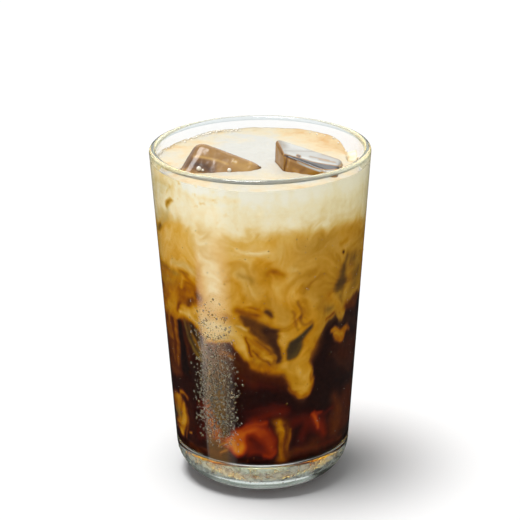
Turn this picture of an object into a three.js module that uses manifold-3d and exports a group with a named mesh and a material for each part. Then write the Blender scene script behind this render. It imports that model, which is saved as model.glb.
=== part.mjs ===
// Iced coffee with milk in a straight-sided tumbler with a heavy base.
// Millimetres, +Z up. The origin is on the table, at the middle of the glass.
// Angles round the glass are in degrees from the front (-Y), positive towards +X.

import * as THREE from 'three';
import { RoundedBoxGeometry } from 'three/addons/geometries/RoundedBoxGeometry.js';
import { mergeVertices } from 'three/addons/utils/BufferGeometryUtils.js';
import Module from 'manifold-3d';

// The tumbler
const HEIGHT = 125;
const RIM_RADIUS = 40;
// Radius of the outer wall where its straight line meets the table
const FOOT_RADIUS = 30.9;
const WALL = 2.7;
const FLOOR = 12;
const FLOOR_FILLET = 5;
const CORNER_RADIUS = 13.8;
// Shallow hollow under the base, inside the ring that the glass stands on
const PUNT_RADIUS = 15;
const PUNT_DEPTH = 1.2;

// The drink: heights of its layers above the table
const SURFACE = 120;
const FOAM_LEVEL = 105.5;
const COFFEE_LEVEL = 62;
// Clear space kept between pieces, and between two layers one above the other
const GAP = 0.3;
const LAYER_GAP = 0.4;

// Steps round the glass and along each arc of its outline
const SEGMENTS = 68;
const ARC_STEPS = 3;
// Rings across a layer, and across the floor with its fillet, as shares of the way to the wall
const LAYER_RINGS = [0.35, 0.62, 0.84, 1];
const FLOOR_RINGS = [0.5, 0.84, 0.94, 1];

// Milk that sinks into the coffee (negative lift) and coffee that reaches up (positive lift)
const PLUMES = [
  { at: -62, lift: 7, width: 22 },
  { at: 7, lift: -12, width: 20 },
  { at: 27, lift: -16, width: 9 },
  { at: 47, lift: 9, width: 10 },
  { at: 59, lift: -4, width: 5 },
  { at: 76, lift: 9, width: 15 },
  { at: 112, lift: -15, width: 10 },
  { at: 138, lift: 6, width: 12 },
  { at: 163, lift: -12, width: 14 },
  { at: -158, lift: 7, width: 11 },
  { at: -134, lift: -17, width: 9 },
  { at: -108, lift: 5, width: 12 },
];
// How the lower edge of the foam rises and falls
const FOAM_DIPS = [
  { at: -92, lift: -6, width: 14 },
  { at: -35, lift: -1, width: 18 },
  { at: 30, lift: 0.8, width: 20 },
  { at: 96, lift: -2, width: 22 },
  { at: 150, lift: 1.5, width: 20 },
  { at: -150, lift: -2.5, width: 16 },
];
// The foam's surface sags at the wall, deepest in the pocket where the ice at the rim stands
const SURFACE_DIPS = [
  { at: 112, lift: -5, width: 14 },
  { at: -125, lift: -0.6, width: 20 },
  { at: -10, lift: -0.3, width: 30 },
];
// Swells are full at the wall and fade towards the middle: the higher, the closer to the wall
const WALL_BIAS = 1.4;
// How blunt a swell's top is: 2 is a bell, more is flatter with steeper sides
const LOBE_ROUNDNESS = 2.6;
const POCKET_BIAS = 9;

// Ice: each block by its eight corners, top four and bottom four, going round
// from the back left corner: back left, back right, front right, front left.
// Its melted edge is a share of half a block.
const ICE_LEFT = {
  top: [[-22.3, -3.6, 129.9], [2.2, -10.4, 121.9], [-7.8, -23.8, 110.9], [-31.4, -17, 118.6]],
  bottom: [[-23.2, 9, 114.3], [1.1, 2.6, 107], [-8.9, -10.8, 96], [-32.7, -4.4, 103.3]],
  edge: 0.32,
};
const ICE_RIGHT = {
  top: [[5.3, -0.8, 128.6], [30, -5, 121.4], [26.6, -22, 121.6], [8.8, -12, 125.5]],
  bottom: [[4.6, -1.6, 109.6], [26.4, -6.2, 103.8], [22.4, -24, 105], [7.4, -17.6, 107.4]],
  edge: 0.18,
};
const ICE_RIM = {
  top: [[31, 5, 121.4], [35.2, 5.4, 122.8], [35.3, -3.4, 121.6], [31.2, -3.8, 120.4]],
  bottom: [[29.6, 6.2, 112], [33.4, 5.8, 111.4], [33.6, -3.6, 111], [29.8, -4, 112]],
  edge: 0.45,
};
const ICE_EDGE_STEPS = 2;
// How far a socket's corners stand off the block's, which leaves about GAP at its faces
const SOCKET_REACH = 0.6;

const wasm = await Module();
wasm.setup();

const TAPER = (RIM_RADIUS - FOOT_RADIUS) / HEIGHT;
const WALL_LEAN = Math.atan(TAPER);

function outerRadius(z) {
  return FOOT_RADIUS + TAPER * z;
}

function innerRadius(z) {
  return outerRadius(z) - WALL;
}

function drinkRadius(z) {
  return innerRadius(z) - GAP;
}

// Outline of the glass from the middle of its underside, up outside, over the lip and down inside
function glassOutline() {
  const lip = WALL / 2;
  const puntArc = (PUNT_RADIUS ** 2 + PUNT_DEPTH ** 2) / (2 * PUNT_DEPTH);
  const puntAngle = Math.asin(PUNT_RADIUS / puntArc);
  const cornerX = outerRadius(CORNER_RADIUS) - CORNER_RADIUS / Math.cos(WALL_LEAN);
  const filletZ = FLOOR + FLOOR_FILLET;
  const filletX = innerRadius(filletZ) - FLOOR_FILLET / Math.cos(WALL_LEAN);
  const outline = new THREE.Path();
  outline.moveTo(0, PUNT_DEPTH);
  outline.absarc(0, PUNT_DEPTH - puntArc, puntArc, Math.PI / 2, Math.PI / 2 - puntAngle, true);
  outline.absarc(cornerX, CORNER_RADIUS, CORNER_RADIUS, -Math.PI / 2, -WALL_LEAN, false);
  outline.absarc(outerRadius(HEIGHT - lip) - lip, HEIGHT - lip, lip, 0, Math.PI, false);
  outline.absarc(filletX, filletZ, FLOOR_FILLET, -WALL_LEAN, -Math.PI / 2, true);
  outline.lineTo(0, FLOOR);
  return outline.getPoints(ARC_STEPS);
}

// Sum of smooth swells round the glass at an angle in radians
function swell(swells, angle) {
  let lift = 0;
  for (const { at, lift: height, width } of swells) {
    const away = THREE.MathUtils.euclideanModulo(THREE.MathUtils.radToDeg(angle) - at + 180, 360) - 180;
    lift += height * Math.exp(-(Math.abs(away / width) ** LOBE_ROUNDNESS));
  }
  return lift;
}

function coffeeTop(angle, share) {
  return COFFEE_LEVEL + swell(PLUMES, angle) * share ** WALL_BIAS;
}

function foamBottom(angle, share) {
  return FOAM_LEVEL + swell(FOAM_DIPS, angle) * share ** WALL_BIAS;
}

function foamTop(angle, share) {
  return SURFACE + swell(SURFACE_DIPS, angle) * share ** POCKET_BIAS;
}

// The drink's underside lies on the glass floor and turns up into its fillet
function coffeeBottom(angle, share) {
  const bend = FLOOR_FILLET + GAP;
  const reach = drinkRadius(FLOOR + bend);
  const intoBend = THREE.MathUtils.clamp(share * reach - (reach - bend), 0, bend);
  return FLOOR + GAP + bend - Math.sqrt(bend ** 2 - intoBend ** 2);
}

// A layer of the drink: a drum of unit size, whose height runs from one surface to the next
// and whose side is bent to the inside of the glass
function layer(bottomAt, topAt, wallRows, bottomRings = LAYER_RINGS) {
  const outline = [0, ...bottomRings].map((share) => new THREE.Vector2(share, 0));
  for (let row = 1; row < wallRows; row += 1) {
    outline.push(new THREE.Vector2(1, row / wallRows));
  }
  outline.push(...[0, ...LAYER_RINGS].reverse().map((share) => new THREE.Vector2(share, 1)));
  const geometry = new THREE.LatheGeometry(outline, SEGMENTS).rotateX(Math.PI / 2);
  turnLowerDiagonals(geometry.index, outline.length, bottomRings.length);
  const position = geometry.attributes.position;
  for (let i = 0; i < position.count; i += 1) {
    const x = position.getX(i);
    const y = position.getY(i);
    const share = Math.hypot(x, y);
    const angle = Math.atan2(x, -y);
    const z = THREE.MathUtils.lerp(bottomAt(angle, share), topAt(angle, share), position.getZ(i));
    const radius = drinkRadius(z);
    position.setXYZ(i, x * radius, y * radius, z);
  }
  return geometry;
}

// The quads of a layer's underside are split the same way as those of the surface below it,
// so that the two faces stay LAYER_GAP apart all over
function turnLowerDiagonals(index, outlinePoints, lowerQuads) {
  for (let segment = 0; segment < SEGMENTS; segment += 1) {
    for (let quad = 0; quad < lowerQuads; quad += 1) {
      const inner = segment * outlinePoints + quad;
      const corners = [inner, inner + outlinePoints, inner + outlinePoints + 1, inner + 1];
      const first = 6 * (segment * (outlinePoints - 1) + quad);
      [0, 1, 2, 2, 3, 0].forEach((corner, i) => index.setX(first + i, corners[corner]));
    }
  }
}

// A block of ice: a rounded cube bent to eight corners
function iceBlock({ top, bottom, edge }, reach = 0) {
  const corners = [...bottom, ...top].map((corner) => new THREE.Vector3(...corner));
  const centre = new THREE.Vector3();
  corners.forEach((corner) => centre.addScaledVector(corner, 1 / corners.length));
  corners.forEach((corner) => {
    const arm = corner.clone().sub(centre);
    corner.copy(centre).add(arm.setLength(arm.length() + reach));
  });
  const [backLeft, backRight, frontRight, frontLeft, ...upper] = corners;
  const [topBackLeft, topBackRight, topFrontRight, topFrontLeft] = upper;
  const geometry = new RoundedBoxGeometry(2, 2, 2, ICE_EDGE_STEPS, edge);
  const position = geometry.attributes.position;
  const point = new THREE.Vector3();
  for (let i = 0; i < position.count; i += 1) {
    point.fromBufferAttribute(position, i);
    const right = (point.x + 1) / 2;
    const back = (point.y + 1) / 2;
    const high = (point.z + 1) / 2;
    const low = frontLeft.clone().lerp(frontRight, right).lerp(backLeft.clone().lerp(backRight, right), back);
    const up = topFrontLeft.clone().lerp(topFrontRight, right)
      .lerp(topBackLeft.clone().lerp(topBackRight, right), back);
    point.copy(low).lerp(up, high);
    position.setXYZ(i, point.x, point.y, point.z);
  }
  return geometry;
}

// Closed geometry with shared vertices, as the joining and cutting needs it
function welded(geometry) {
  const bare = geometry.clone();
  bare.deleteAttribute('normal');
  bare.deleteAttribute('uv');
  return mergeVertices(bare);
}

function solidOf(geometry) {
  const closed = welded(geometry);
  return new wasm.Manifold(new wasm.Mesh({
    numProp: 3,
    vertProperties: closed.attributes.position.array,
    triVerts: Uint32Array.from(closed.index.array),
  }));
}

function geometryOf(solid) {
  const { vertProperties, triVerts } = solid.getMesh();
  const geometry = new THREE.BufferGeometry();
  geometry.setAttribute('position', new THREE.BufferAttribute(vertProperties, 3));
  geometry.setIndex(new THREE.BufferAttribute(triVerts, 1));
  return geometry;
}

// A layer with a socket for each block of ice that reaches into it
function socketed(geometry, blocks) {
  let solid = solidOf(geometry);
  for (const block of blocks) {
    solid = solid.subtract(solidOf(iceBlock(block, SOCKET_REACH)));
  }
  return geometryOf(solid);
}

function part(name, geometry, color, roughness) {
  const material = new THREE.MeshStandardMaterial({ color, roughness, metalness: 0 });
  const mesh = new THREE.Mesh(geometry, material);
  mesh.name = name;
  return mesh;
}

const glass = new THREE.LatheGeometry(glassOutline(), SEGMENTS).rotateX(Math.PI / 2);
const coffee = layer(coffeeBottom, coffeeTop, 3, FLOOR_RINGS);
const milkCoffee = layer(
  (angle, share) => coffeeTop(angle, share) + LAYER_GAP,
  (angle, share) => foamBottom(angle, share) - LAYER_GAP,
  2,
);
const milkFoam = layer(foamBottom, foamTop, 2);
const floating = [ICE_LEFT, ICE_RIGHT, ICE_RIM];

const icedCoffee = new THREE.Group();
icedCoffee.name = 'iced_coffee';
icedCoffee.add(
  part('glass', glass, 0xdfe8e4, 0.03),
  part('coffee', coffee, 0x1c0c07, 0.1),
  part('milk_coffee', socketed(milkCoffee, floating), 0xc2934e, 0.15),
  part('milk_foam', socketed(milkFoam, floating), 0xf6e7c4, 0.6),
  part('ice_left', iceBlock(ICE_LEFT), 0xb09a7c, 0.08),
  part('ice_right', iceBlock(ICE_RIGHT), 0xc8c6c0, 0.06),
  part('ice_rim', iceBlock(ICE_RIM), 0xf2dfb6, 0.4),
);

export default icedCoffee;
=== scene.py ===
"""Iced coffee with milk in a straight-sided tumbler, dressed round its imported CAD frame.

Sizes are named in millimetres and used in metres. Angles round the glass are in degrees from
the front (-Y), positive towards +X.
"""

import itertools
import math

import bmesh
import bpy
import numpy as np
from mathutils import Matrix, Vector


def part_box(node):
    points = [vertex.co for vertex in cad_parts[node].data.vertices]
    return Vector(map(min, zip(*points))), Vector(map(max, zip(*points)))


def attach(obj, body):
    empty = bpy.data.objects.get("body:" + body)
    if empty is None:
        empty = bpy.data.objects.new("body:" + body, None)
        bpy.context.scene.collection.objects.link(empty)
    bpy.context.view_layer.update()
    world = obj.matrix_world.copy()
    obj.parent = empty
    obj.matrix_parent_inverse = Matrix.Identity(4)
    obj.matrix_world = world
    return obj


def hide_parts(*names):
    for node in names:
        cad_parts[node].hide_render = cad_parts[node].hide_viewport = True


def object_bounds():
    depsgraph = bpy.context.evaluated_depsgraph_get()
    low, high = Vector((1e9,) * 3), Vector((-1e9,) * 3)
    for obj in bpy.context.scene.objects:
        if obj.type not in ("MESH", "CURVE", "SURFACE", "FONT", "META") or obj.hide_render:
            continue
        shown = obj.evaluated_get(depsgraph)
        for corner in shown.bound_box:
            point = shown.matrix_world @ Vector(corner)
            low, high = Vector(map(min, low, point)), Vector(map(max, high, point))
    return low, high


bl_info = {
    "name": "Iced coffee",
    "version": (1, 0, 0),
    "blender": (4, 5, 0),
    "location": "View3D > Sidebar > Iced coffee",
    "description": "Builds a tumbler of iced coffee with milk foam and ice",
    "category": "Add Mesh",
}

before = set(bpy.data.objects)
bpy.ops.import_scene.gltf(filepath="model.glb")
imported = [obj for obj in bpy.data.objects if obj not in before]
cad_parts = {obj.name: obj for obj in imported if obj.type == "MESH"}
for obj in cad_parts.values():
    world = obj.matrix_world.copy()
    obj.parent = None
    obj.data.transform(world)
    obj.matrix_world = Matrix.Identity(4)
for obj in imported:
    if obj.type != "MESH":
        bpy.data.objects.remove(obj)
CAD_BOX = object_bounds()

MM = 0.001
BODY = "root"
FULL_TURN = 2 * math.pi

# The tumbler, as its construction model has it
FOOT_RADIUS = 30.9 * MM
WALL = 2.7 * MM
FLOOR = 12.0 * MM
FLOOR_FILLET = 5.0 * MM
CORNER_RADIUS = 13.8 * MM
PUNT_RADIUS = 15.0 * MM
PUNT_DEPTH = 1.2 * MM
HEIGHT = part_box("glass")[1].z
RIM_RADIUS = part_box("glass")[1].x
# How far its other two finishes reach: the foot's up from the table, the lip's down from the top
FOOT_TOP = 12.8 * MM
LIP_HEIGHT = 2.6 * MM

# Heights of the drink's layers
SURFACE = 120.0 * MM
FOAM_LEVEL = 105.5 * MM
COFFEE_LEVEL = 62.0 * MM

# Swells of the layers' edges: degrees round the glass, lift in mm, half width in degrees
PLUMES = (
    (-62, 7, 22),
    (7, -12, 20),
    (27, -16, 9),
    (47, 9, 10),
    (59, -4, 5),
    (76, 9, 15),
    (112, -15, 10),
    (138, 6, 12),
    (163, -12, 14),
    (-158, 7, 11),
    (-134, -17, 9),
    (-108, 5, 12),
)
FOAM_DIPS = (
    (-92, -6, 14),
    (-35, -1, 18),
    (30, 0.8, 20),
    (96, -2, 22),
    (150, 1.5, 20),
    (-150, -2.5, 16),
)
SURFACE_DIPS = (
    (112, -5, 14),
    (-125, -0.6, 20),
    (-10, -0.3, 30),
)
# How strongly the swells of the edges, and of the surface, gather at the wall
WALL_BIAS = 1.4
POCKET_BIAS = 9
# How blunt a swell is: 2 is a bell, and more is flatter on top
LOBE_ROUNDNESS = 2.6

# Blocks of ice by their corners in mm: top four, bottom four, each round from the back left
ICE_CORNERS = {
    "ice_left": (
        ((-22.3, -3.6, 129.9), (2.2, -10.4, 121.9), (-7.8, -23.8, 110.9), (-31.4, -17, 118.6)),
        ((-23.2, 9, 114.3), (1.1, 2.6, 107), (-8.9, -10.8, 96), (-32.7, -4.4, 103.3)),
    ),
    "ice_right": (
        ((5.3, -0.8, 128.6), (30, -5, 121.4), (26.6, -22, 121.6), (8.8, -12, 125.5)),
        ((4.6, -1.6, 109.6), (26.4, -6.2, 103.8), (22.4, -24, 105), (7.4, -17.6, 107.4)),
    ),
    "ice_rim": (
        ((31, 5, 121.4), (35.2, 5.4, 122.8), (35.3, -3.4, 121.6), (31.2, -3.8, 120.4)),
        ((29.6, 6.2, 112), (33.4, 5.8, 111.4), (33.6, -3.6, 111), (29.8, -4, 112)),
    ),
}
# Melted edges as a share of half a block, as in the construction model
ICE_EDGES = {"ice_left": 0.32, "ice_right": 0.18, "ice_rim": 0.45}
# Edges of the cube longer than this are its faces' own, and get cut: its bevels stay as they are
LONG_EDGE = 0.5
# Steps across a face of a block, and across one of the cutter for its socket
ICE_CUTS = 56
SOCKET_CUTS = 2
# How far a socket stands off its block, the foam's material slot for it, and the size in mm of
# the hollows that melting leaves
SOCKET_GAP = 0.25 * MM
SOCKET_SLOT = 2
HOLLOW_SIZE = 7

# The drink's wall reaches this far into the glass, so that no air gap shows
WETTING = 0.15 * MM
# Steps round and up the painted walls of the layers, each near a pixel of the photograph
WALL_COLUMNS = 560
COFFEE_ROWS = 118
MILKY_ROWS = 112
FOAM_ROWS = 38
# Rings of the layers' ends, as shares of their radius: most ends, the floor's, and the foam's top
RINGS = (0.3, 0.6, 0.85, 1)
FILLET_RINGS = (0.4, 0.7, 0.84, 0.88, 0.92, 0.95, 0.975, 0.99, 1)
SURFACE_RINGS = tuple(np.linspace(0.02, 0.96, 78)) + (0.968, 0.976, 0.984, 0.992, 1)
# Faces of the foam beyond this share of its radius lie against the glass
WALL_SHARE = 0.9985
# A full turn is spun as this many like sectors, and points this close are one
SECTORS = 16
MERGE_DISTANCE = 0.001 * MM
# Faces that meet more sharply than this keep a crease between them
CREASE = math.radians(50)

TAPER = (RIM_RADIUS - FOOT_RADIUS) / (HEIGHT - WALL / 2)
WALL_LEAN = math.atan(TAPER)


def linear(hex_colour):
    """The linear colour that shaders work in, from an sRGB hex value."""
    channels = [int(hex_colour[i:i + 2], 16) / 255 for i in (1, 3, 5)]
    bent = [c / 12.92 if c <= 0.04045 else ((c + 0.055) / 1.055) ** 2.4 for c in channels]
    return (*bent, 1)


# What wet glass does to a colour behind it: the share it passes on, and what it throws back
GLASS_GAIN = 0.784
GLASS_ECHO = 0.244
# The most light that a liquid gives back
LIGHTEST = 0.97


def behind_glass(hex_colour):
    """The colour that a liquid needs to show as this one through the wall of the glass."""
    shown = linear(hex_colour)[:3]
    return (*(min(c / (GLASS_GAIN + GLASS_ECHO * c), LIGHTEST) for c in shown), 1)


class TumblerSettings(bpy.types.PropertyGroup):
    """What a user would change on the glass."""

    columns: bpy.props.IntProperty(
        name="Steps round", description="Steps round the glass, a multiple of four", default=256
    )
    tint: bpy.props.FloatVectorProperty(
        name="Glass tint", description="Colour that a long way through the glass takes on",
        subtype="COLOR", size=3, default=linear("#cfe0d6")[:3],
    )
    tint_density: bpy.props.FloatProperty(
        name="Tint density", description="How fast the glass takes on its tint, per metre",
        default=11.0, min=0,
    )


class DrinkSettings(bpy.types.PropertyGroup):
    """What a user would change on the drink."""

    foam: bpy.props.FloatVectorProperty(
        name="Foam", description="Milk foam", subtype="COLOR", size=3, default=linear("#d8cdb2")[:3],
    )
    relief: bpy.props.FloatProperty(
        name="Foam relief", description="Unevenness of the foam's surface",
        subtype="DISTANCE", default=0.35 * MM,
    )
    swirl: bpy.props.FloatProperty(
        name="Swirl", description="How far milk and coffee are stirred into each other",
        subtype="DISTANCE", default=0.55 * MM,
    )


class IceSettings(bpy.types.PropertyGroup):
    """What a user would change on the ice."""

    melt: bpy.props.FloatProperty(
        name="Melt", description="Depth of the hollows that melting leaves", subtype="DISTANCE",
        default=0.25 * MM,
    )


class DropletSettings(bpy.types.PropertyGroup):
    """What a user would change on the droplets and bubbles."""

    count: bpy.props.IntProperty(name="Droplets", description="Droplets on the glass", default=2500)
    seed: bpy.props.IntProperty(name="Seed", description="Start of the random draws", default=7)


class StageSettings(bpy.types.PropertyGroup):
    """What a user would change on the stage."""

    exposure: bpy.props.FloatProperty(
        name="Light", description="Strength of all the studio light", default=1.0, min=0
    )


def outer_radius(z):
    """Radius of the outside of the glass at a height."""
    return FOOT_RADIUS + TAPER * z


def inner_radius(z):
    """Radius of its inside."""
    return outer_radius(z) - WALL


def drink_radius(z):
    """Radius of the drink, which reaches just into the wall."""
    return inner_radius(z) + WETTING


def swell(swells, angle):
    """Sum of blunt swells round the glass, in metres, at angles in radians."""
    lift = 0.0
    for at, height, width in swells:
        away = (np.degrees(angle) - at + 180) % 360 - 180
        lift = lift + height * MM * np.exp(-np.abs(away / width) ** LOBE_ROUNDNESS)
    return lift


def coffee_top(angle, share):
    """Where coffee meets milky coffee, at an angle round and a share of the radius out."""
    return COFFEE_LEVEL + swell(PLUMES, angle) * share ** WALL_BIAS


def foam_bottom(angle, share):
    """Where milky coffee meets foam."""
    return FOAM_LEVEL + swell(FOAM_DIPS, angle) * share ** WALL_BIAS


def coffee_bottom(angle, share):
    """The drink lies on the glass floor and turns up into its fillet."""
    bend = FLOOR_FILLET
    reach = drink_radius(FLOOR + bend)
    into_bend = np.clip(share * reach - (reach - bend), 0, bend)
    return FLOOR + bend - np.sqrt(bend ** 2 - into_bend ** 2) - WETTING


# Random values on a lattice that repeats, and how far apart on it two starts of the noise lie
LATTICE = np.random.default_rng(5).uniform(-1, 1, (64, 64, 64))
SEED_STEP = np.array((17, 31, 47))


def lattice_noise(points, seed):
    """Smooth noise from -1 to 1 and its slope, at points given in steps of its lattice."""
    cell = np.floor(points).astype(np.int64)
    local = points - cell
    fade = local ** 3 * (local * (local * 6 - 15) + 10)
    steep = 30 * (local * (local - 1)) ** 2
    cell += SEED_STEP * seed
    value = np.zeros(len(points))
    slope = np.zeros_like(points)
    for corner in itertools.product((0, 1), repeat=3):
        x, y, z = ((cell + corner) % len(LATTICE)).T
        weights = np.where(corner, fade, 1 - fade).T
        signs = np.where(corner, steep, -steep).T
        here = LATTICE[x, y, z]
        value += here * weights[0] * weights[1] * weights[2]
        slope[:, 0] += here * signs[0] * weights[1] * weights[2]
        slope[:, 1] += here * weights[0] * signs[1] * weights[2]
        slope[:, 2] += here * weights[0] * weights[1] * signs[2]
    return value, slope


def layered_noise(points, size, seed, octaves=3):
    """Noise of several sizes: points in mm, the largest lumps about size mm across."""
    total = np.zeros(len(points))
    for octave in range(octaves):
        value, _ = lattice_noise(points * (2 ** octave / size), seed + octave)
        total += value / 2 ** octave
    return total / (2 - 2 ** (1 - octaves))


def blended(start, end, share):
    return start + (end - start) * share


def smooth(low, high, value):
    """0 below low, 1 above high, and smooth between; low may be the larger."""
    t = np.clip((value - low) / (high - low), 0, 1)
    return t * t * (3 - 2 * t)


# Mean radius of the wall in mm, on which the painted streaks are laid out flat
WALL_MEAN = 34.0
MM_PER_DEGREE = math.radians(1) * WALL_MEAN
# The glass stretches what lies behind it, and lifts it by this many mm, as seen from the front
WALL_STRETCH = 1.05
WALL_RISE = 0.8
# Eddies that stir milk into coffee: size in mm, share of the stir, start of the noise
EDDIES = (
    (15, 1.0, 11),
    (6, 0.5, 23),
    (2.6, 0.22, 37),
)
STIR_STEPS = 4
# A chain's corners are cut this many times, this far from each end of a link
CORNER_CUTS = 2
CORNER_CUT = 0.25
# How far a streak's edge fades outwards and inwards, as shares of its softness
FADE_OUT = 0.75
FADE_IN = 0.6


def on_wall(along, height):
    """Points in mm on the wall, from mm along it and mm up it, as the glass stretches them."""
    angle = along / WALL_MEAN / WALL_STRETCH
    return np.stack([WALL_MEAN * np.sin(angle), -WALL_MEAN * np.cos(angle), height], axis=1)


def stirred(along, height, reach):
    """Where the liquid at each point of the wall was before slow eddies stirred it."""
    for size, share, seed in EDDIES:
        for _ in range(STIR_STEPS):
            points = on_wall(along, height)
            _, slope = lattice_noise(points / size, seed)
            sideways = (slope[:, 1] * points[:, 0] - slope[:, 0] * points[:, 1]) / WALL_MEAN
            along = along + slope[:, 2] * reach * share / STIR_STEPS
            height = height - sideways * reach * share / STIR_STEPS
    return along, height


def rounded(chain):
    """A chain of points with its corners cut, so that it bends softly."""
    for _ in range(CORNER_CUTS):
        if len(chain) < 3:
            return chain
        cut = [chain[0]]
        for start, end in zip(chain, chain[1:]):
            cut += [blended(start, end, CORNER_CUT), blended(start, end, 1 - CORNER_CUT)]
        chain = cut + [chain[-1]]
    return chain


def streak_weight(along, height, points, soft, spread=MM_PER_DEGREE):
    """How fully each point of a surface lies in a streak: a chain of (degrees round the wall, mm
    up, mm half width). Spread is mm a degree, and 1 where the chain is in mm to start with."""
    chain = rounded([np.array((a * spread, z, r)) for a, z, r in points])
    reach = soft + max(link[2] for link in chain)
    low = np.min(chain, axis=0) - reach
    high = np.max(chain, axis=0) + reach
    near = (along > low[0]) & (along < high[0]) & (height > low[1]) & (height < high[1])
    along, height = along[near], height[near]
    nearest = np.full(len(along), np.inf)
    for start, end in zip(chain, chain[1:] or chain):
        run = (end - start)[:2]
        length = max(run @ run, 1e-9)
        t = np.clip(((along - start[0]) * run[0] + (height - start[1]) * run[1]) / length, 0, 1)
        away = np.hypot(along - start[0] - t * run[0], height - start[1] - t * run[1])
        nearest = np.minimum(nearest, away - (start[2] + t * (end[2] - start[2])))
    weight = np.zeros(len(near))
    weight[near] = smooth(soft * FADE_OUT, -soft * FADE_IN, nearest)
    return weight


# The edge between black and milky coffee across the front: degrees, mm up
COFFEE_EDGE = (
    (-92, 64), (-80, 66), (-72, 66.5), (-64, 66), (-60, 67.5), (-53, 67.8), (-46, 67), (-41, 64.4),
    (-37.5, 61.5), (-30, 62), (-22, 63.6), (-18, 61.8), (-14, 58.2), (-8, 55.2), (-3, 53), (2, 51.4),
    (6, 51), (10, 51), (14, 50), (17, 46.6), (21, 42.8), (25, 41), (28, 40.8), (31, 43), (32.4, 50),
    (33, 57), (36.4, 60.6), (40.2, 65.4), (43, 67.4), (49, 68.4), (53, 69.2), (56, 66.4), (59, 66),
    (62, 68), (66, 73), (92, 74),
)
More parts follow.
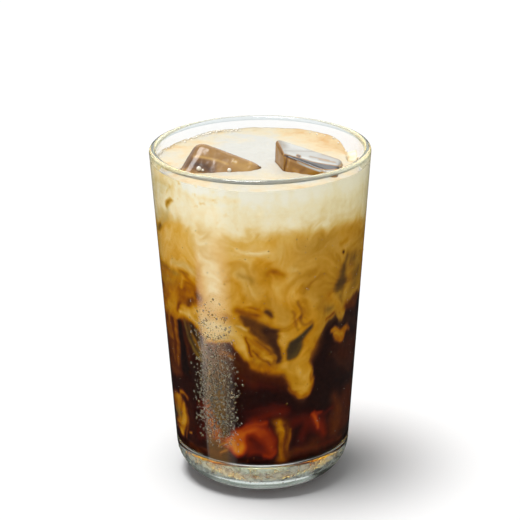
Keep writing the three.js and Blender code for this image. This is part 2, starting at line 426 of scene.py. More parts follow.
# Streaks at the wall, each with its milk (0 black coffee, 0.5 gold, 0.7 tan, 1 cream), its warmth,
# its softness in mm and then a chain of (degrees, mm up, mm half width).
WALL_STREAKS = (
    # broad grounds: brown left, gold middle, olive right, brown coffee at the sides
    (0.40, 1.0, 8, ((-90, 77, 7), (-62, 77, 7))),
    (0.51, 0.9, 7, ((4, 78, 5), (22, 74, 7), (28, 60, 5))),
    (0.50, 0.45, 9, ((42, 88, 9), (74, 86, 10))),
    (0.21, 1.0, 6, ((-90, 56, 9), (-70, 56, 9))),
    (0.17, 1.0, 6, ((-16, 55, 2), (2, 50, 2.6), (14, 48, 2))),
    (0.31, 1.0, 5, ((-90, 28, 6), (-76, 27, 7), (-69, 30, 4))),
    (0.10, 1.0, 4, ((-56, 33, 1.6), (-57, 22, 2.4))),
    (0.15, 1.0, 6, ((40, 21, 3), (60, 26, 6), (78, 30, 9))),
    (0.13, 0.8, 8, ((62, 54, 5), (80, 52, 8))),
    # high on the left: amber curtain, pale above it, a brown seam where the sunk ice meets the wall
    (0.75, 0.95, 5, ((-76, 96, 4), (-64, 97, 5), (-55, 98, 5))),
    (0.76, 0.95, 5, ((-54, 99, 5), (-45, 98, 6))),
    (0.70, 0.9, 6, ((-80, 91, 2), (-62, 93, 3))),
    (0.80, 0.7, 2.5, ((-70, 103.5, 0.6), (-60, 105.5, 0.9), (-52, 106, 0.8))),
    (0.80, 0.35, 4, ((-80, 105, 2.4), (-70, 107, 2))),
    (0.93, 0.5, 4, ((-78, 115, 3.5), (-66, 115, 4))),
    (0.86, 1.0, 5, ((-58, 113, 3), (-46, 113, 5))),
    (0.62, 0.0, 1.8, ((-88, 98, 0.9), (-81, 100, 0.9))),
    (0.36, 0.25, 1.6, ((-81, 100, 0.8), (-77, 101, 1), (-74.5, 102, 0.5))),
    (0.78, 0.2, 2, ((-74, 102.4, 0.6), (-66, 106, 0.8), (-61, 109, 0.6))),
    # middle of the left side
    (0.72, 0.55, 2.5, ((-64, 88.6, 0.8), (-52, 89, 1.4), (-43, 88, 1.6))),
    (0.41, 0.6, 2, ((-84, 85.4, 0.9), (-72, 85.6, 1), (-63, 84.6, 0.7))),
    (0.47, 0.2, 2, ((-63, 84.5, 0.6), (-57, 84, 0.6))),
    (0.44, 0.7, 3, ((-88, 80, 3), (-70, 80, 2.6), (-61, 80, 1.6))),
    (0.30, 1.0, 2.4, ((-90, 75.5, 1), (-82, 77, 1))),
    (0.43, 1.0, 4, ((-84, 72.5, 2.4), (-72, 74, 2.6), (-58, 76, 3))),
    (0.50, 1.0, 2.6, ((-74, 71, 1), (-68, 70.5, 1.8), (-63, 74, 1.4))),
    (0.31, 1.0, 2, ((-63, 70, 0.6), (-59.5, 72, 0.8))),
    (0.45, 1.0, 3, ((-54, 82, 2.4), (-47, 81, 3.4), (-45, 78, 2.6))),
    (0.36, 1.0, 2, ((-52, 84.5, 0.6), (-47, 82.5, 1.2), (-44, 79.5, 1))),
    (0.28, 0.8, 1.8, ((-51.5, 72, 0.5), (-49, 74.5, 1), (-45.5, 76.4, 0.9))),
    (0.36, 0.7, 1.6, ((-56, 85.8, 0.5), (-50, 85.8, 0.6))),
    (0.30, 0.6, 1.8, ((-43.5, 79.5, 0.8), (-40.5, 79, 1.2))),
    (0.62, 0.9, 1.6, ((-57, 79, 0.4), (-54.5, 83, 0.5))),
    (0.42, 0.9, 2.4, ((-41.5, 86, 0.9), (-40, 90, 1))),
    (0.67, 0.9, 2, ((-57, 71.4, 0.8), (-48, 70.6, 1.2), (-40, 73.5, 1.4))),
    (0.78, 0.8, 1.6, ((-60, 69.6, 0.4), (-50, 69.8, 0.6), (-42, 68, 0.6))),
    # pale shelf that lies on the coffee, and the cream above it
    (0.80, 0.7, 6, ((-33, 104, 4), (-32, 90, 4), (-30, 78, 4))),
    (0.86, 0.55, 4, ((-36, 69, 2.6), (-30, 68, 3.4), (-22, 67.6, 2.2))),
    (0.82, 0.3, 2.4, ((-37, 64, 0.8), (-28, 64.4, 0.9), (-20, 65, 1.2))),
    (0.72, 0.9, 3.4, ((-18, 66, 2), (-13, 62.5, 2), (-9, 58.5, 1))),
    # golden middle with its swirls
    (0.72, 0.85, 6, ((-20, 99, 3.4), (-8, 99, 3.4), (2, 100, 2.6))),
    (0.84, 0.8, 1.6, ((-13, 99.4, 0.3), (-6, 97.6, 0.5), (2, 98.6, 0.3))),
    (0.69, 0.6, 5, ((-11, 90, 4), (-6, 84, 4))),
    (0.58, 0.2, 2.4, ((-13, 88.4, 0.6), (-6, 87.6, 0.9))),
    (0.60, 0.8, 2.2, ((-4, 93.5, 0.5), (1, 92, 1.4), (-1, 88, 0.5))),
    (0.56, 0.9, 2, ((-3, 95, 0.8), (3, 94, 0.8))),
    (0.55, 0.8, 3, ((2, 87, 1.4), (12, 87.4, 1.6))),
    (0.42, 0.8, 2.4, ((4, 90, 1), (8.5, 90.4, 1.7), (12.5, 89.4, 1.2))),
    (0.36, 0.9, 1.4, ((5, 90.6, 0.4), (9, 91.2, 0.5), (12.6, 90, 0.4))),
    (0.63, 0.6, 4, ((14, 97, 3), (24, 95, 4))),
    (0.52, 0.9, 1.8, ((-23, 86, 0.5), (-18, 86.3, 0.6), (-14, 84.6, 0.5), (-15, 82, 0.5), (-11.5, 79, 0.7))),
    (0.63, 0.8, 3, ((-19, 83.5, 1.6), (-18, 79.5, 2))),
    (0.56, 0.6, 3, ((6, 79, 2), (14, 76, 3), (14, 72, 2))),
    (0.63, 0.8, 3, ((10, 84, 2), (22, 82, 2.4))),
    # brown smudge, small hole, the large dark hole and the tan leaf in it
    (0.29, 0.9, 2.4, ((-15, 75.6, 1), (-9, 74.6, 1.8), (-2, 74, 1))),
    (0.34, 1.0, 1.2, ((-10, 76.6, 0.4), (-4, 76.9, 0.4), (-0.5, 75.6, 0.5))),
    (0.17, 0.4, 1.8, ((2.6, 75.8, 0.7), (5, 75.6, 1), (6.6, 74.6, 0.5))),
    (0.24, 0.6, 2, ((-12, 73, 0.7), (-7, 70.6, 2), (0, 68.4, 3.2), (5, 66, 3.4))),
    (0.14, 0.4, 1.8, ((5, 68, 1.6), (9.5, 67.4, 1.6), (11.5, 66.6, 1.4))),
    (0.17, 0.5, 2, ((7, 66, 2), (10, 61, 1.8), (10.4, 56, 1))),
    (0.50, 0.6, 1.2, ((-15, 69.8, 0.5), (-11, 68.4, 0.7), (-7, 68.4, 0.6))),
    (0.78, 0.3, 0.9, ((-15, 69.6, 0.2), (-11, 69, 0.35), (-8, 68, 0.3))),
    (0.26, 1.0, 1.4, ((-9.6, 65, 0.5), (-8.6, 61, 0.6), (-6.6, 58.4, 0.4))),
    (0.47, 0.9, 1.3, ((-7, 64.4, 0.9), (-3, 61.6, 2.2), (3, 58.4, 2.4), (6.8, 55.4, 1))),
    (0.37, 0.7, 1.1, ((-4, 64.4, 0.3), (2, 62.4, 0.4), (7.4, 58.6, 0.5), (7.6, 55, 0.6))),
    (0.56, 0.8, 1, ((-5, 62.4, 0.3), (1, 59.4, 0.5), (5, 56, 0.3))),
    (0.30, 0.8, 0.9, ((-6, 60.8, 0.2), (0, 57, 0.3), (6, 54.2, 0.4))),
    (0.42, 1.0, 2.4, ((-6, 54.4, 0.6), (1, 52.8, 1), (8, 51.8, 1.2), (14, 52, 0.8))),
    # green slit on the right of it, with curled lines above; the heavy drop of milk below
    (0.58, 0.8, 2, ((13, 67, 1.2), (15, 60, 1.4), (16, 55, 1.4))),
    (0.18, 0.0, 1.6, ((17.6, 57.4, 1), (20, 60.4, 2.4), (23, 63, 1.8), (27, 65.4, 0.9), (30.4, 68, 0.6))),
    (0.25, 0.0, 1.8, ((18, 57, 0.8), (23.6, 58.6, 1), (25.6, 61.4, 0.8))),
    (0.36, 0.5, 1.2, ((23, 79, 0.3), (25, 75, 0.5), (23.5, 71, 0.5), (27, 69, 0.5), (30.5, 70, 0.3))),
    (0.38, 0.6, 1.1, ((19, 76, 0.3), (20.4, 72, 0.3), (22, 67.6, 0.4))),
    (0.44, 0.7, 2, ((27, 75, 1), (30.5, 73, 0.8), (29, 78, 0.8))),
    (0.34, 1.0, 1.2, ((18.4, 44.6, 0.8), (23, 41.4, 1), (29, 40.4, 1), (34, 43.4, 1), (36, 47, 0.6))),
    (0.55, 0.85, 1.6, ((29, 52, 3.4), (29.4, 48, 4), (28, 45, 3))),
    (0.50, 0.8, 2.4, ((21, 50, 2.4), (22.5, 46.6, 2))),
    (0.62, 0.8, 2, ((26, 52, 0.6), (28, 47.6, 1.2))),
    (0.30, 1.0, 1, ((34.6, 49.4, 0.4), (34, 46.4, 0.5))),
    # tan and olive of the right side
    (0.57, 0.3, 6, ((28, 99, 3), (44, 98, 4))),
    (0.52, 0.5, 4, ((56, 101, 2), (74, 99, 3))),
    (0.60, 0.45, 2, ((20, 91, 0.4), (24, 94.4, 0.4), (29, 95, 0.4), (34, 91.6, 0.4))),
    (0.53, 0.5, 2.4, ((25, 91.6, 1), (31, 92, 1))),
    (0.49, 0.5, 3, ((32, 84, 1.4), (38, 83.4, 1.8))),
    (0.53, 0.5, 6, ((44, 92, 4), (44, 80, 4))),
    (0.42, 0.2, 4, ((64, 90, 2), (74, 86, 4), (72, 79, 3))),
    (0.47, 0.4, 2.4, ((61, 86, 0.8), (66, 86.6, 1.2))),
    (0.40, 0.6, 2, ((54, 97, 0.5), (60, 97.4, 0.7))),
    (0.27, 0.2, 2.4, ((61, 91.6, 0.7), (57.6, 88.5, 1), (55.4, 84, 1.6), (54, 79.6, 2.4))),
    (0.38, 0.2, 2.4, ((54, 77, 1.4), (57, 73.6, 0.8))),
    (0.50, 0.4, 1, ((54.8, 93.6, 0.2), (56.6, 92.2, 0.3))),
    (0.11, 0.4, 1.1, ((56.8, 93.9, 0.5), (57.8, 93.9, 0.4))),
    (0.46, 0.7, 3, ((46, 76.5, 1.6), (53, 72.5, 1.4), (58, 69, 0.8))),
    (0.34, 0.0, 2.4, ((44, 71.6, 0.6), (48, 71.8, 0.6))),
    # brown haze at the far right, milk that hangs in the coffee under it
    (0.20, 0.9, 3, ((64, 71, 1.6), (78, 70.5, 2.4))),
    (0.13, 0.3, 4, ((66, 65, 1.6), (80, 64, 2))),
    (0.40, 1.0, 1.4, ((49, 63, 0.9), (52.4, 63, 1.4), (56, 60.4, 2.4), (60, 58.6, 1.8), (62.4, 60.6, 1.6))),
    (0.38, 1.0, 1.3, ((59, 61, 1.6), (64.5, 62, 1.4), (69, 60.8, 0.7))),
    (0.47, 0.8, 1.4, ((50.6, 63, 0.6), (55, 61.4, 1), (60, 60.4, 0.8))),
    (0.22, 1.0, 1, ((43, 68.6, 0.3), (47, 68.8, 0.3), (51, 69.6, 0.3))),
    (0.33, 0.9, 1.2, ((35.5, 62, 0.3), (37.5, 60.4, 0.5))),
    (0.14, 0.6, 2.4, ((54, 52, 0.4), (64, 48, 0.7), (76, 45, 0.6))),
    (0.13, 0.6, 2.4, ((60, 56, 0.4), (70, 54.5, 0.6), (78, 51, 0.6))),
    (0.15, 0.8, 5, ((62, 31, 1.6), (74, 26, 2.4))),
    # far left: brown fibres, a black pocket, a fan of olive strands
    (0.30, 1.0, 5, ((-88, 60, 4), (-78, 58, 4))),
    (0.34, 1.0, 2.4, ((-78, 67, 0.9), (-75, 58, 1), (-74, 48, 0.5))),
    (0.35, 1.0, 2, ((-68, 66, 0.8), (-67.4, 56, 0.9), (-69, 47, 0.4))),
    (0.22, 1.0, 2, ((-71.5, 64, 0.5), (-71, 53, 0.6))),
    (0.32, 0.9, 2, ((-64.8, 65, 0.4), (-64.4, 53, 0.5))),
    (0.22, 1.0, 4, ((-88, 45, 3), (-79, 44, 3), (-68, 44, 2))),
    (0.40, 1.0, 1.8, ((-70, 67.5, 0.6), (-66, 68, 0.8), (-63, 67, 0.4))),
    (0.06, 0.8, 3, ((-74, 40.5, 0.8), (-56, 42, 2.4))),
    (0.03, 0.3, 1.6, ((-61.8, 65, 1.2), (-61, 56, 1.8), (-60, 48, 2.6))),
    (0.09, 0.3, 2.4, ((-52, 50, 1.4), (-48, 46, 2), (-48, 40, 2))),
    (0.25, 0.15, 4, ((-52, 65, 1.2), (-48, 60, 2.4), (-43, 54.6, 2.2))),
    (0.14, 0.1, 1.6, ((-52, 62.6, 0.5), (-48.6, 57.6, 0.6), (-44, 53, 0.5))),
    (0.34, 0.1, 1.5, ((-55.4, 66.6, 0.4), (-52.6, 61, 0.6), (-48.6, 56.6, 0.7), (-43, 52.6, 0.4))),
    (0.38, 0.5, 1.3, ((-50.5, 65.8, 0.4), (-47.4, 61.4, 0.7), (-43, 57, 0.5))),
    (0.13, 0.1, 1.6, ((-48.6, 66, 0.9), (-45.6, 63.4, 0.9), (-43.4, 60.6, 0.5))),
    (0.30, 0.3, 1.4, ((-44.4, 65, 0.4), (-42.4, 60.6, 0.6), (-40.8, 56.6, 0.5))),
    (0.42, 0.15, 1.8, ((-38.6, 63, 0.6), (-38.8, 54, 0.8), (-37.4, 47.6, 0.5))),
    (0.17, 0.3, 3, ((-44, 50, 1.6), (-40.6, 44, 2))),
    (0.28, 0.3, 2, ((-37.4, 48, 0.6), (-35.6, 43.6, 0.5))),
    # haze under the shelf, with golden specks
    (0.19, 0.6, 5, ((-34, 55, 3), (-26, 54, 4), (-18, 53, 2))),
    (0.30, 0.9, 2.6, ((-33, 59.4, 0.7), (-27, 59, 1.2), (-20, 57.6, 1.2))),
    (0.40, 0.9, 1.2, ((-28, 57.6, 0.4), (-24, 58.6, 0.5), (-20.4, 57, 0.5))),
    (0.18, 1.0, 5, ((-16, 51, 2), (-6, 48.6, 2))),
    # gold that lies low on the left
    (0.16, 0.2, 4, ((-88, 25, 3), (-82, 26, 2))),
    (0.36, 1.0, 3, ((-78, 22, 1.8), (-73, 25, 3), (-72, 31, 3))),
    (0.43, 1.0, 2, ((-92, 31.4, 0.9), (-84, 33.4, 1), (-75, 35, 1.2), (-69, 34, 0.8))),
    (0.35, 0.2, 2.4, ((-79, 29.4, 1.4), (-74, 27.6, 1.4))),
    (0.49, 0.95, 1.8, ((-64.4, 32.6, 0.5), (-67, 29, 1.3), (-70.4, 24.6, 1.6), (-74, 19.6, 1.6))),
    (0.36, 1.0, 1.6, ((-68, 36.4, 0.7), (-62, 37.4, 0.7), (-59, 35.4, 0.6))),
    (0.28, 1.0, 1.4, ((-62, 31, 0.4), (-65.6, 23, 0.6), (-67.4, 19, 0.5))),
    (0.42, 1.0, 0.9, ((-62.4, 22, 0.3), (-60, 22.2, 0.4))),
    # brown above the floor, amber tongue over the sunk ice, gold rings by it
    (0.23, 1.0, 2.4, ((-62, 17.4, 0.7), (-34, 16.6, 0.7))),
    (0.29, 1.0, 3, ((8, 32, 1.4), (13, 31, 2.8), (16, 27, 3), (16, 22, 2.8), (14, 17, 2))),
    (0.35, 1.0, 2.4, ((10, 31, 1.2), (13, 29, 2.2), (15, 24, 1.8), (13.4, 18, 1.6))),
    (0.46, 1.0, 2, ((11.6, 31, 0.7), (13.6, 28.4, 1), (14, 24, 0.5))),
    (0.38, 1.0, 1, ((20, 28, 0.3), (20.6, 23.5, 0.3), (19, 19, 0.3))),
    (0.24, 1.0, 1.2, ((16, 30, 0.4), (17.6, 25, 0.5), (16.4, 20, 0.4))),
    (0.42, 0.8, 0.9, (
        (-33, 20.4, 0.6), (-29, 22.6, 0.8), (-25.4, 21, 0.9), (-28, 18.4, 0.7), (-32, 18, 0.5),
    )),
    (0.58, 0.5, 0.6, ((-10.4, 16.9, 0.15), (-8, 16.8, 0.2), (-6.6, 17.3, 0.15))),
    (0.40, 1.0, 0.7, ((6, 22.2, 0.35), (7, 22.8, 0.35))),
    (0.20, 1.0, 5, ((57, 36, 1.6), (62, 28, 3), (60, 22, 2))),
    (0.23, 1.0, 3, ((18, 18.6, 1.2), (30, 19.4, 1.6), (42, 18.4, 1))),
    (0.18, 1.0, 2.4, ((44, 18, 0.6), (70, 18.6, 0.6))),
)
# Marks in the foam against the glass, laid like the streaks
FOAM_STREAKS = (
    (0.45, 0.3, 1.6, ((-62, 109.6, 0.4), (-59, 111.6, 0.9), (-56.4, 113.2, 0.5))),
    (0.91, 1.0, 3, ((-50, 118, 0.5), (-44, 117.4, 0.8), (-40, 116, 0.6))),
    (0.90, 1.0, 2.4, ((-36, 117.2, 0.6), (-31, 117.6, 0.6), (-28, 116.4, 0.4))),
    (0.91, 1.0, 2, ((-24, 117.6, 0.5), (-19, 117, 0.5), (-12, 117.2, 0.4))),
    (0.94, 1.0, 3, ((-33, 112.6, 0.4), (-27, 112, 0.7))),
    (0.92, 1.0, 1.6, ((1.4, 112.6, 0.3), (2.6, 113.6, 0.3))),
    (0.95, 0.8, 4, ((6, 109, 1), (18, 108, 1.4))),
)
# Lamplight that sunk ice lets through the coffee: 0.3 dark red, 0.6 red, 1 bright orange
GLOW_STREAKS = (
    (0.26, 6, ((-50, 33, 2), (-42, 37, 3.4), (-40, 28, 6), (-50, 23, 4))),
    (0.36, 5, ((-43, 36, 1.2), (-38, 31, 2.6), (-36, 24, 2.6))),
    (0.62, 3, ((-39, 37, 0.8), (-37, 31, 1.7), (-34.4, 24, 1.3))),
    (0.26, 6, ((-14, 50, 2.4), (-4, 47, 3), (8, 46, 2))),
    (0.26, 6, ((-12, 36, 2), (2, 38, 2), (14, 37, 2))),
    (0.36, 5, ((-8, 32, 1.6), (2, 34.6, 2.4), (12, 35.6, 2.4))),
    (0.53, 5, ((-26, 22, 2.4), (-16, 24.6, 4), (-6, 26, 5), (3, 25.4, 4.8), (6, 21.6, 3))),
    (0.42, 4, ((-9, 20, 2), (0, 19.6, 1.4))),
    (0.80, 3, ((-26, 22.6, 1.6), (-20, 25.4, 2.2), (-12, 27.6, 1.5), (-5, 28, 1))),
    (0.97, 3, ((-23.4, 23, 1.2), (-19.4, 19.4, 1.8), (-16.4, 22, 1.6))),
    (0.60, 2, ((-13, 28.4, 0.5), (-6, 30.4, 0.7), (2, 31.4, 0.7))),
    (0.62, 2.4, ((-5, 27, 1), (0, 28, 1.2))),
    (0.34, 3, ((-8.6, 24.6, 1.6), (-3, 22.4, 1.8))),
    (0.55, 1.6, ((1, 18.4, 0.5), (6, 19, 0.5), (9, 20.6, 0.4))),
    (0.33, 7, ((22, 31, 3.6), (32, 32, 3), (30, 24, 3))),
    (0.40, 5, ((37, 31, 2), (44, 28, 3.6), (48, 23, 2))),
    (0.72, 1.4, ((34.6, 33.2, 0.3), (38.4, 32.2, 0.7), (40.6, 29.6, 0.6), (42.6, 27, 0.4))),
    (0.60, 1.6, ((37, 33.6, 0.3), (44, 32.8, 0.4))),
    (0.30, 3.4, ((46, 31.6, 1.2), (56, 32, 1.4))),
    (0.30, 4, ((24, 18.6, 1.2), (46, 18.6, 1.2), (60, 18.4, 1))),
    (0.30, 1, ((-50, 15.8, 0.15), (50, 15.8, 0.15))),
)
# Half width in degrees of the join between the front's streaks and the back's
JOIN = 14
# How warm the light on the drink is, at degrees round the front
WARMTH = ((-60, 1.0), (-20, 0.9), (20, 0.65), (45, 0.4), (75, 0.25))
# The milk under the streaks: in black coffee, then what is added by the haze below its edge, by
# the edge itself and by the rise towards the foam; how deep the haze is in mm, how far the edge
# fades below and above, and up to which height the milk rises
COFFEE_MILK = 0.04
HAZE_MILK = 0.14
EDGE_MILK = 0.32
RISING_MILK = 0.15
HAZE_DEPTH = 5
EDGE_FADE = (-1.6, 1.2)
RISE_TOP = 98
# Foam against the glass: how far it fades below and above its edge in mm, its milk at the lower
# and the upper height, how it sets in from the left in degrees, and the least milk it has
FOAM_FADE = (-3.5, 4)
FROTH_MILK = (0.94, 1.0)
FROTH_HEIGHTS = (112, 120)
FROTH_SIDE = (-76, -46)
LEAST_FROTH = 0.9
# Foam that runs down the glass: size in mm, stretched upright, where it sets in, how strong
DRIP_SIZE = 2.5
DRIP_STRETCH = (1, 1, 0.25)
DRIP_HEIGHTS = (96, 108)
DRIP_DEPTH = 0.045
DRIP_LIMIT = 0.2
# Orange specks in the foam at the left: size in mm, how sharp, where they set in and stop
SPECK_SIZE = 1.6
SPECK_EDGE = (0.25, 0.55)
SPECK_HEIGHTS = (107, 112)
SPECK_LEFT = (-70, -50)
SPECK_RIGHT = (-8, -24)
SPECK_DEPTH = 0.075
# Veils of milk: how far they are stirred, in mm, their size and stretch, how much lighter or
# darker they are, and between which shares of milk they show
VEIL_SWIRL = 2.6
VEIL_SIZE = 7
VEIL_STRETCH = (1, 1, 1.6)
VEIL_DEPTH = 0.16
VEIL_FROM = (0.12, 0.4)
VEIL_TO = (0.99, 0.8)


def streaked(milk, warmth, streaks, along, height):
    """Milk and warmth with streaks laid on them, the later ones over the earlier."""
    for level, warm, soft, points in streaks:
        weight = streak_weight(along, height, points, soft)
        milk = blended(milk, level, weight)
        warmth = blended(warmth, warm, weight)
    return milk, warmth


def front_colours(along, height, edge):
    """Milk, warmth and glow over the front of the wall, at points in mm along it and up it."""
    bearing = np.degrees(along / WALL_MEAN)
    warmth = np.interp(bearing, *zip(*WARMTH))
    foam_edge = foam_bottom(along / WALL_MEAN / WALL_STRETCH, 1.0) / MM
    milk = COFFEE_MILK + HAZE_MILK * smooth(edge - HAZE_DEPTH, edge, height)
    milk = milk + EDGE_MILK * smooth(edge + EDGE_FADE[0], edge + EDGE_FADE[1], height)
    milk = milk + RISING_MILK * smooth(edge, RISE_TOP, height)
    milk, warmth = streaked(milk, warmth, WALL_STREAKS, along, height)
    in_foam = smooth(foam_edge + FOAM_FADE[0], foam_edge + FOAM_FADE[1], height)
    froth = blended(*FROTH_MILK, smooth(*FROTH_HEIGHTS, height))
    frothy = in_foam * smooth(*FROTH_SIDE, bearing)
    milk = np.maximum(milk, blended(milk, froth, frothy))
    milk = blended(milk, np.maximum(milk, LEAST_FROTH), in_foam)
    milk, warmth = streaked(milk, warmth, FOAM_STREAKS, along, height)
    glow = np.zeros(len(along))
    for level, soft, points in GLOW_STREAKS:
        glow = blended(glow, level, streak_weight(along, height, points, soft))
    return milk, warmth, glow


def wall_paint(points, swirl):
    """Milk, glow and warmth at points of the drink in metres, seen through the glass."""
    x, y, z = points.T / MM
    angle = np.arctan2(x, -y)
    along, height = stirred(angle * WALL_MEAN * WALL_STRETCH, z + WALL_RISE, swirl / MM)
    round_trip = FULL_TURN * WALL_MEAN * WALL_STRETCH
    along = (along + round_trip / 2) % round_trip - round_trip / 2
    behind = (along + round_trip) % round_trip - round_trip / 2
    bearing = along / WALL_MEAN / WALL_STRETCH
    front_share = smooth(90 + JOIN, 90 - JOIN, np.degrees(np.abs(bearing)))
    back_edge = coffee_top(bearing, 1.0) / MM
    front_edge = np.interp(np.degrees(along / WALL_MEAN), *zip(*COFFEE_EDGE))
    edge = blended(back_edge, front_edge, front_share)
    front = front_colours(along, height, edge)
    back = front_colours(behind, height, edge)
    milk, warmth, glow = (blended(b, f, front_share) for f, b in zip(front, back))
    flat = on_wall(along, height)
    drips = layered_noise(flat * DRIP_STRETCH, DRIP_SIZE, seed=71, octaves=2)
    drips = drips * smooth(*DRIP_HEIGHTS, height)
    specks = smooth(*SPECK_EDGE, layered_noise(flat, SPECK_SIZE, seed=83, octaves=2))
    specks = specks * smooth(*SPECK_HEIGHTS, height)
    for side in (SPECK_LEFT, SPECK_RIGHT):
        specks = specks * smooth(*side, np.degrees(bearing))
    milk = milk + DRIP_DEPTH * np.minimum(drips, DRIP_LIMIT) - SPECK_DEPTH * specks
    veiled = on_wall(*stirred(along, height, VEIL_SWIRL)) * VEIL_STRETCH
    lively = smooth(*VEIL_FROM, milk) * smooth(*VEIL_TO, milk)
    milk = milk + VEIL_DEPTH * layered_noise(veiled, VEIL_SIZE, seed=97, octaves=4) * lively
    return milk, glow, np.clip(warmth, 0, 1)


def arc(centre, radius, start, end, steps):
    """Points (radius, height) along a round stretch of an outline, angles in degrees."""
    turn = [math.radians(start + (end - start) * i / steps) for i in range(steps + 1)]
    return [(centre[0] + radius * math.cos(t), centre[1] + radius * math.sin(t)) for t in turn]


def straight(start, end, steps):
    """Points between two points of an outline, without either."""
    return [
        tuple(a + (b - a) * i / steps for a, b in zip(start, end))
        for i in range(1, steps)
    ]


def glass_outline():
    """The tumbler's outline: from the middle of its underside, up outside and down inside."""
    lip = WALL / 2
    lean = math.degrees(WALL_LEAN)
    punt_arc = (PUNT_RADIUS ** 2 + PUNT_DEPTH ** 2) / (2 * PUNT_DEPTH)
    punt_angle = math.degrees(math.asin(PUNT_RADIUS / punt_arc))
    corner_x = outer_radius(CORNER_RADIUS) - CORNER_RADIUS / math.cos(WALL_LEAN)
    fillet_z = FLOOR + FLOOR_FILLET
    fillet_x = inner_radius(fillet_z) - FLOOR_FILLET / math.cos(WALL_LEAN)
    lip_x = outer_radius(HEIGHT - lip) - lip
    punt = arc((0, PUNT_DEPTH - punt_arc), punt_arc, 90, 90 - punt_angle, steps=8)
    corner = arc((corner_x, CORNER_RADIUS), CORNER_RADIUS, -90, -lean, steps=20)
    rim = arc((lip_x, HEIGHT - lip), lip, 0, 180, steps=14)
    fillet = arc((fillet_x, fillet_z), FLOOR_FILLET, -lean, -90, steps=10)
    outline = punt + corner
    outline += straight(corner[-1], rim[0], steps=12) + rim
    outline += straight(rim[-1], fillet[0], steps=12) + fillet
    return outline + straight(fillet[-1], (0, FLOOR), steps=4) + [(0, FLOOR)]


def spun(outline, columns):
    """A closed shell: an outline of (radius, height) spun round the Z axis, sector by sector."""
    shell = bmesh.new()
    verts = [shell.verts.new((radius, 0, height)) for radius, height in outline]
    edges = [shell.edges.new(pair) for pair in zip(verts, verts[1:])]
    sector = FULL_TURN / SECTORS
    bmesh.ops.spin(
        shell, geom=verts + edges, axis=(0, 0, 1), cent=(0, 0, 0), dvec=(0, 0, 0),
        angle=sector, steps=columns // SECTORS,
    )
    slice_mesh = bpy.data.meshes.new("sector")
    shell.to_mesh(slice_mesh)
    for _ in range(SECTORS - 1):
        slice_mesh.transform(Matrix.Rotation(sector, 4, "Z"))
        shell.from_mesh(slice_mesh)
    bpy.data.meshes.remove(slice_mesh)
    bmesh.ops.remove_doubles(shell, verts=shell.verts, dist=MERGE_DISTANCE)
    bmesh.ops.recalc_face_normals(shell, faces=shell.faces)
    return shell


def add_copy(shell, pattern, placing):
    """Adds a copy of a pattern's faces to a shell, moved by a matrix."""
    copy = bpy.data.meshes.new("copy")
    pattern.to_mesh(copy)
    copy.transform(placing)
    shell.from_mesh(copy)
    bpy.data.meshes.remove(copy)


def piece(shell, name, *materials):
    """An object at the origin with this shell as its mesh, smooth shaded."""
    mesh = bpy.data.meshes.new(name)
    shell.to_mesh(mesh)
    shell.free()
    mesh.polygons.foreach_set("use_smooth", [True] * len(mesh.polygons))
    for material in materials:
        mesh.materials.append(material)
    made = bpy.data.objects.new(name, mesh)
    bpy.context.scene.collection.objects.link(made)
    return made


def read_rows(rows, name):
    """A vector for each vertex or polygon of a mesh, as rows of x, y and z."""
    values = np.empty(len(rows) * 3)
    rows.foreach_get(name, values)
    return values.reshape(-1, 3)


def set_points(mesh, points):
    mesh.vertices.foreach_set("co", points.ravel())
    mesh.update()


def set_values(mesh, name, values):
    """A number for each corner point of the mesh, which its material reads by name."""
    attribute = mesh.attributes.new(name, "FLOAT", "POINT")
    attribute.data.foreach_set("value", values.astype(np.float32))


def layer(name, bottom_at, top_at, rows, bottom_rings, top_rings, *materials):
    """A layer of the drink: a unit drum whose ends take two surfaces and whose side is bent to
    the inside of the glass."""
    outline = [(share, 0) for share in (0, *bottom_rings)]
    outline += [(1, row / rows) for row in range(1, rows)]
    outline += [(share, 1) for share in (*reversed(top_rings), 0)]
    made = piece(spun(outline, WALL_COLUMNS), name, *materials)
    x, y, level = read_rows(made.data.vertices, "co").T
    share = np.hypot(x, y)
    angle = np.arctan2(x, -y)
    low = bottom_at(angle, share)
    z = low + (top_at(angle, share) - low) * level
    radius = drink_radius(z)
    set_points(made.data, np.stack([x * radius, y * radius, z], axis=1))
    made.data.set_sharp_from_angle(angle=CREASE)
    return made


def in_block(top, bottom, right, back, high):
    """The place between a block's corners that shares of its width, depth and height come to."""
    weights = ((1 - right) * back, right * back, right * (1 - back), (1 - right) * (1 - back))
    return sum(
        (w * (high * t + (1 - high) * b) for w, t, b in zip(weights, top, bottom)), np.zeros(3)
    )


def ice_block(name, cuts, reach=0.0):
    """A rounded cube bent to the block's eight corners; reach pushes the corners outwards."""
    shell = bmesh.new()
    bmesh.ops.create_cube(shell, size=2)
    bmesh.ops.bevel(
        shell, geom=shell.edges[:], offset=ICE_EDGES[name], offset_type="OFFSET",
        affect="EDGES", segments=5, profile=0.5, material=-1,
    )
    long_edges = [edge for edge in shell.edges if edge.calc_length() > LONG_EDGE]
    bmesh.ops.subdivide_edges(shell, edges=long_edges, cuts=cuts, use_grid_fill=True)
    corners = np.concatenate([np.array(ring) * MM for ring in ICE_CORNERS[name]])
    arms = corners - corners.mean(axis=0)
    corners = corners + arms / np.linalg.norm(arms, axis=1)[:, None] * reach
    for vert in shell.verts:
        vert.co = in_block(corners[:4], corners[4:], *((c + 1) / 2 for c in vert.co))
    bmesh.ops.recalc_face_normals(shell, faces=shell.faces)
    return shell


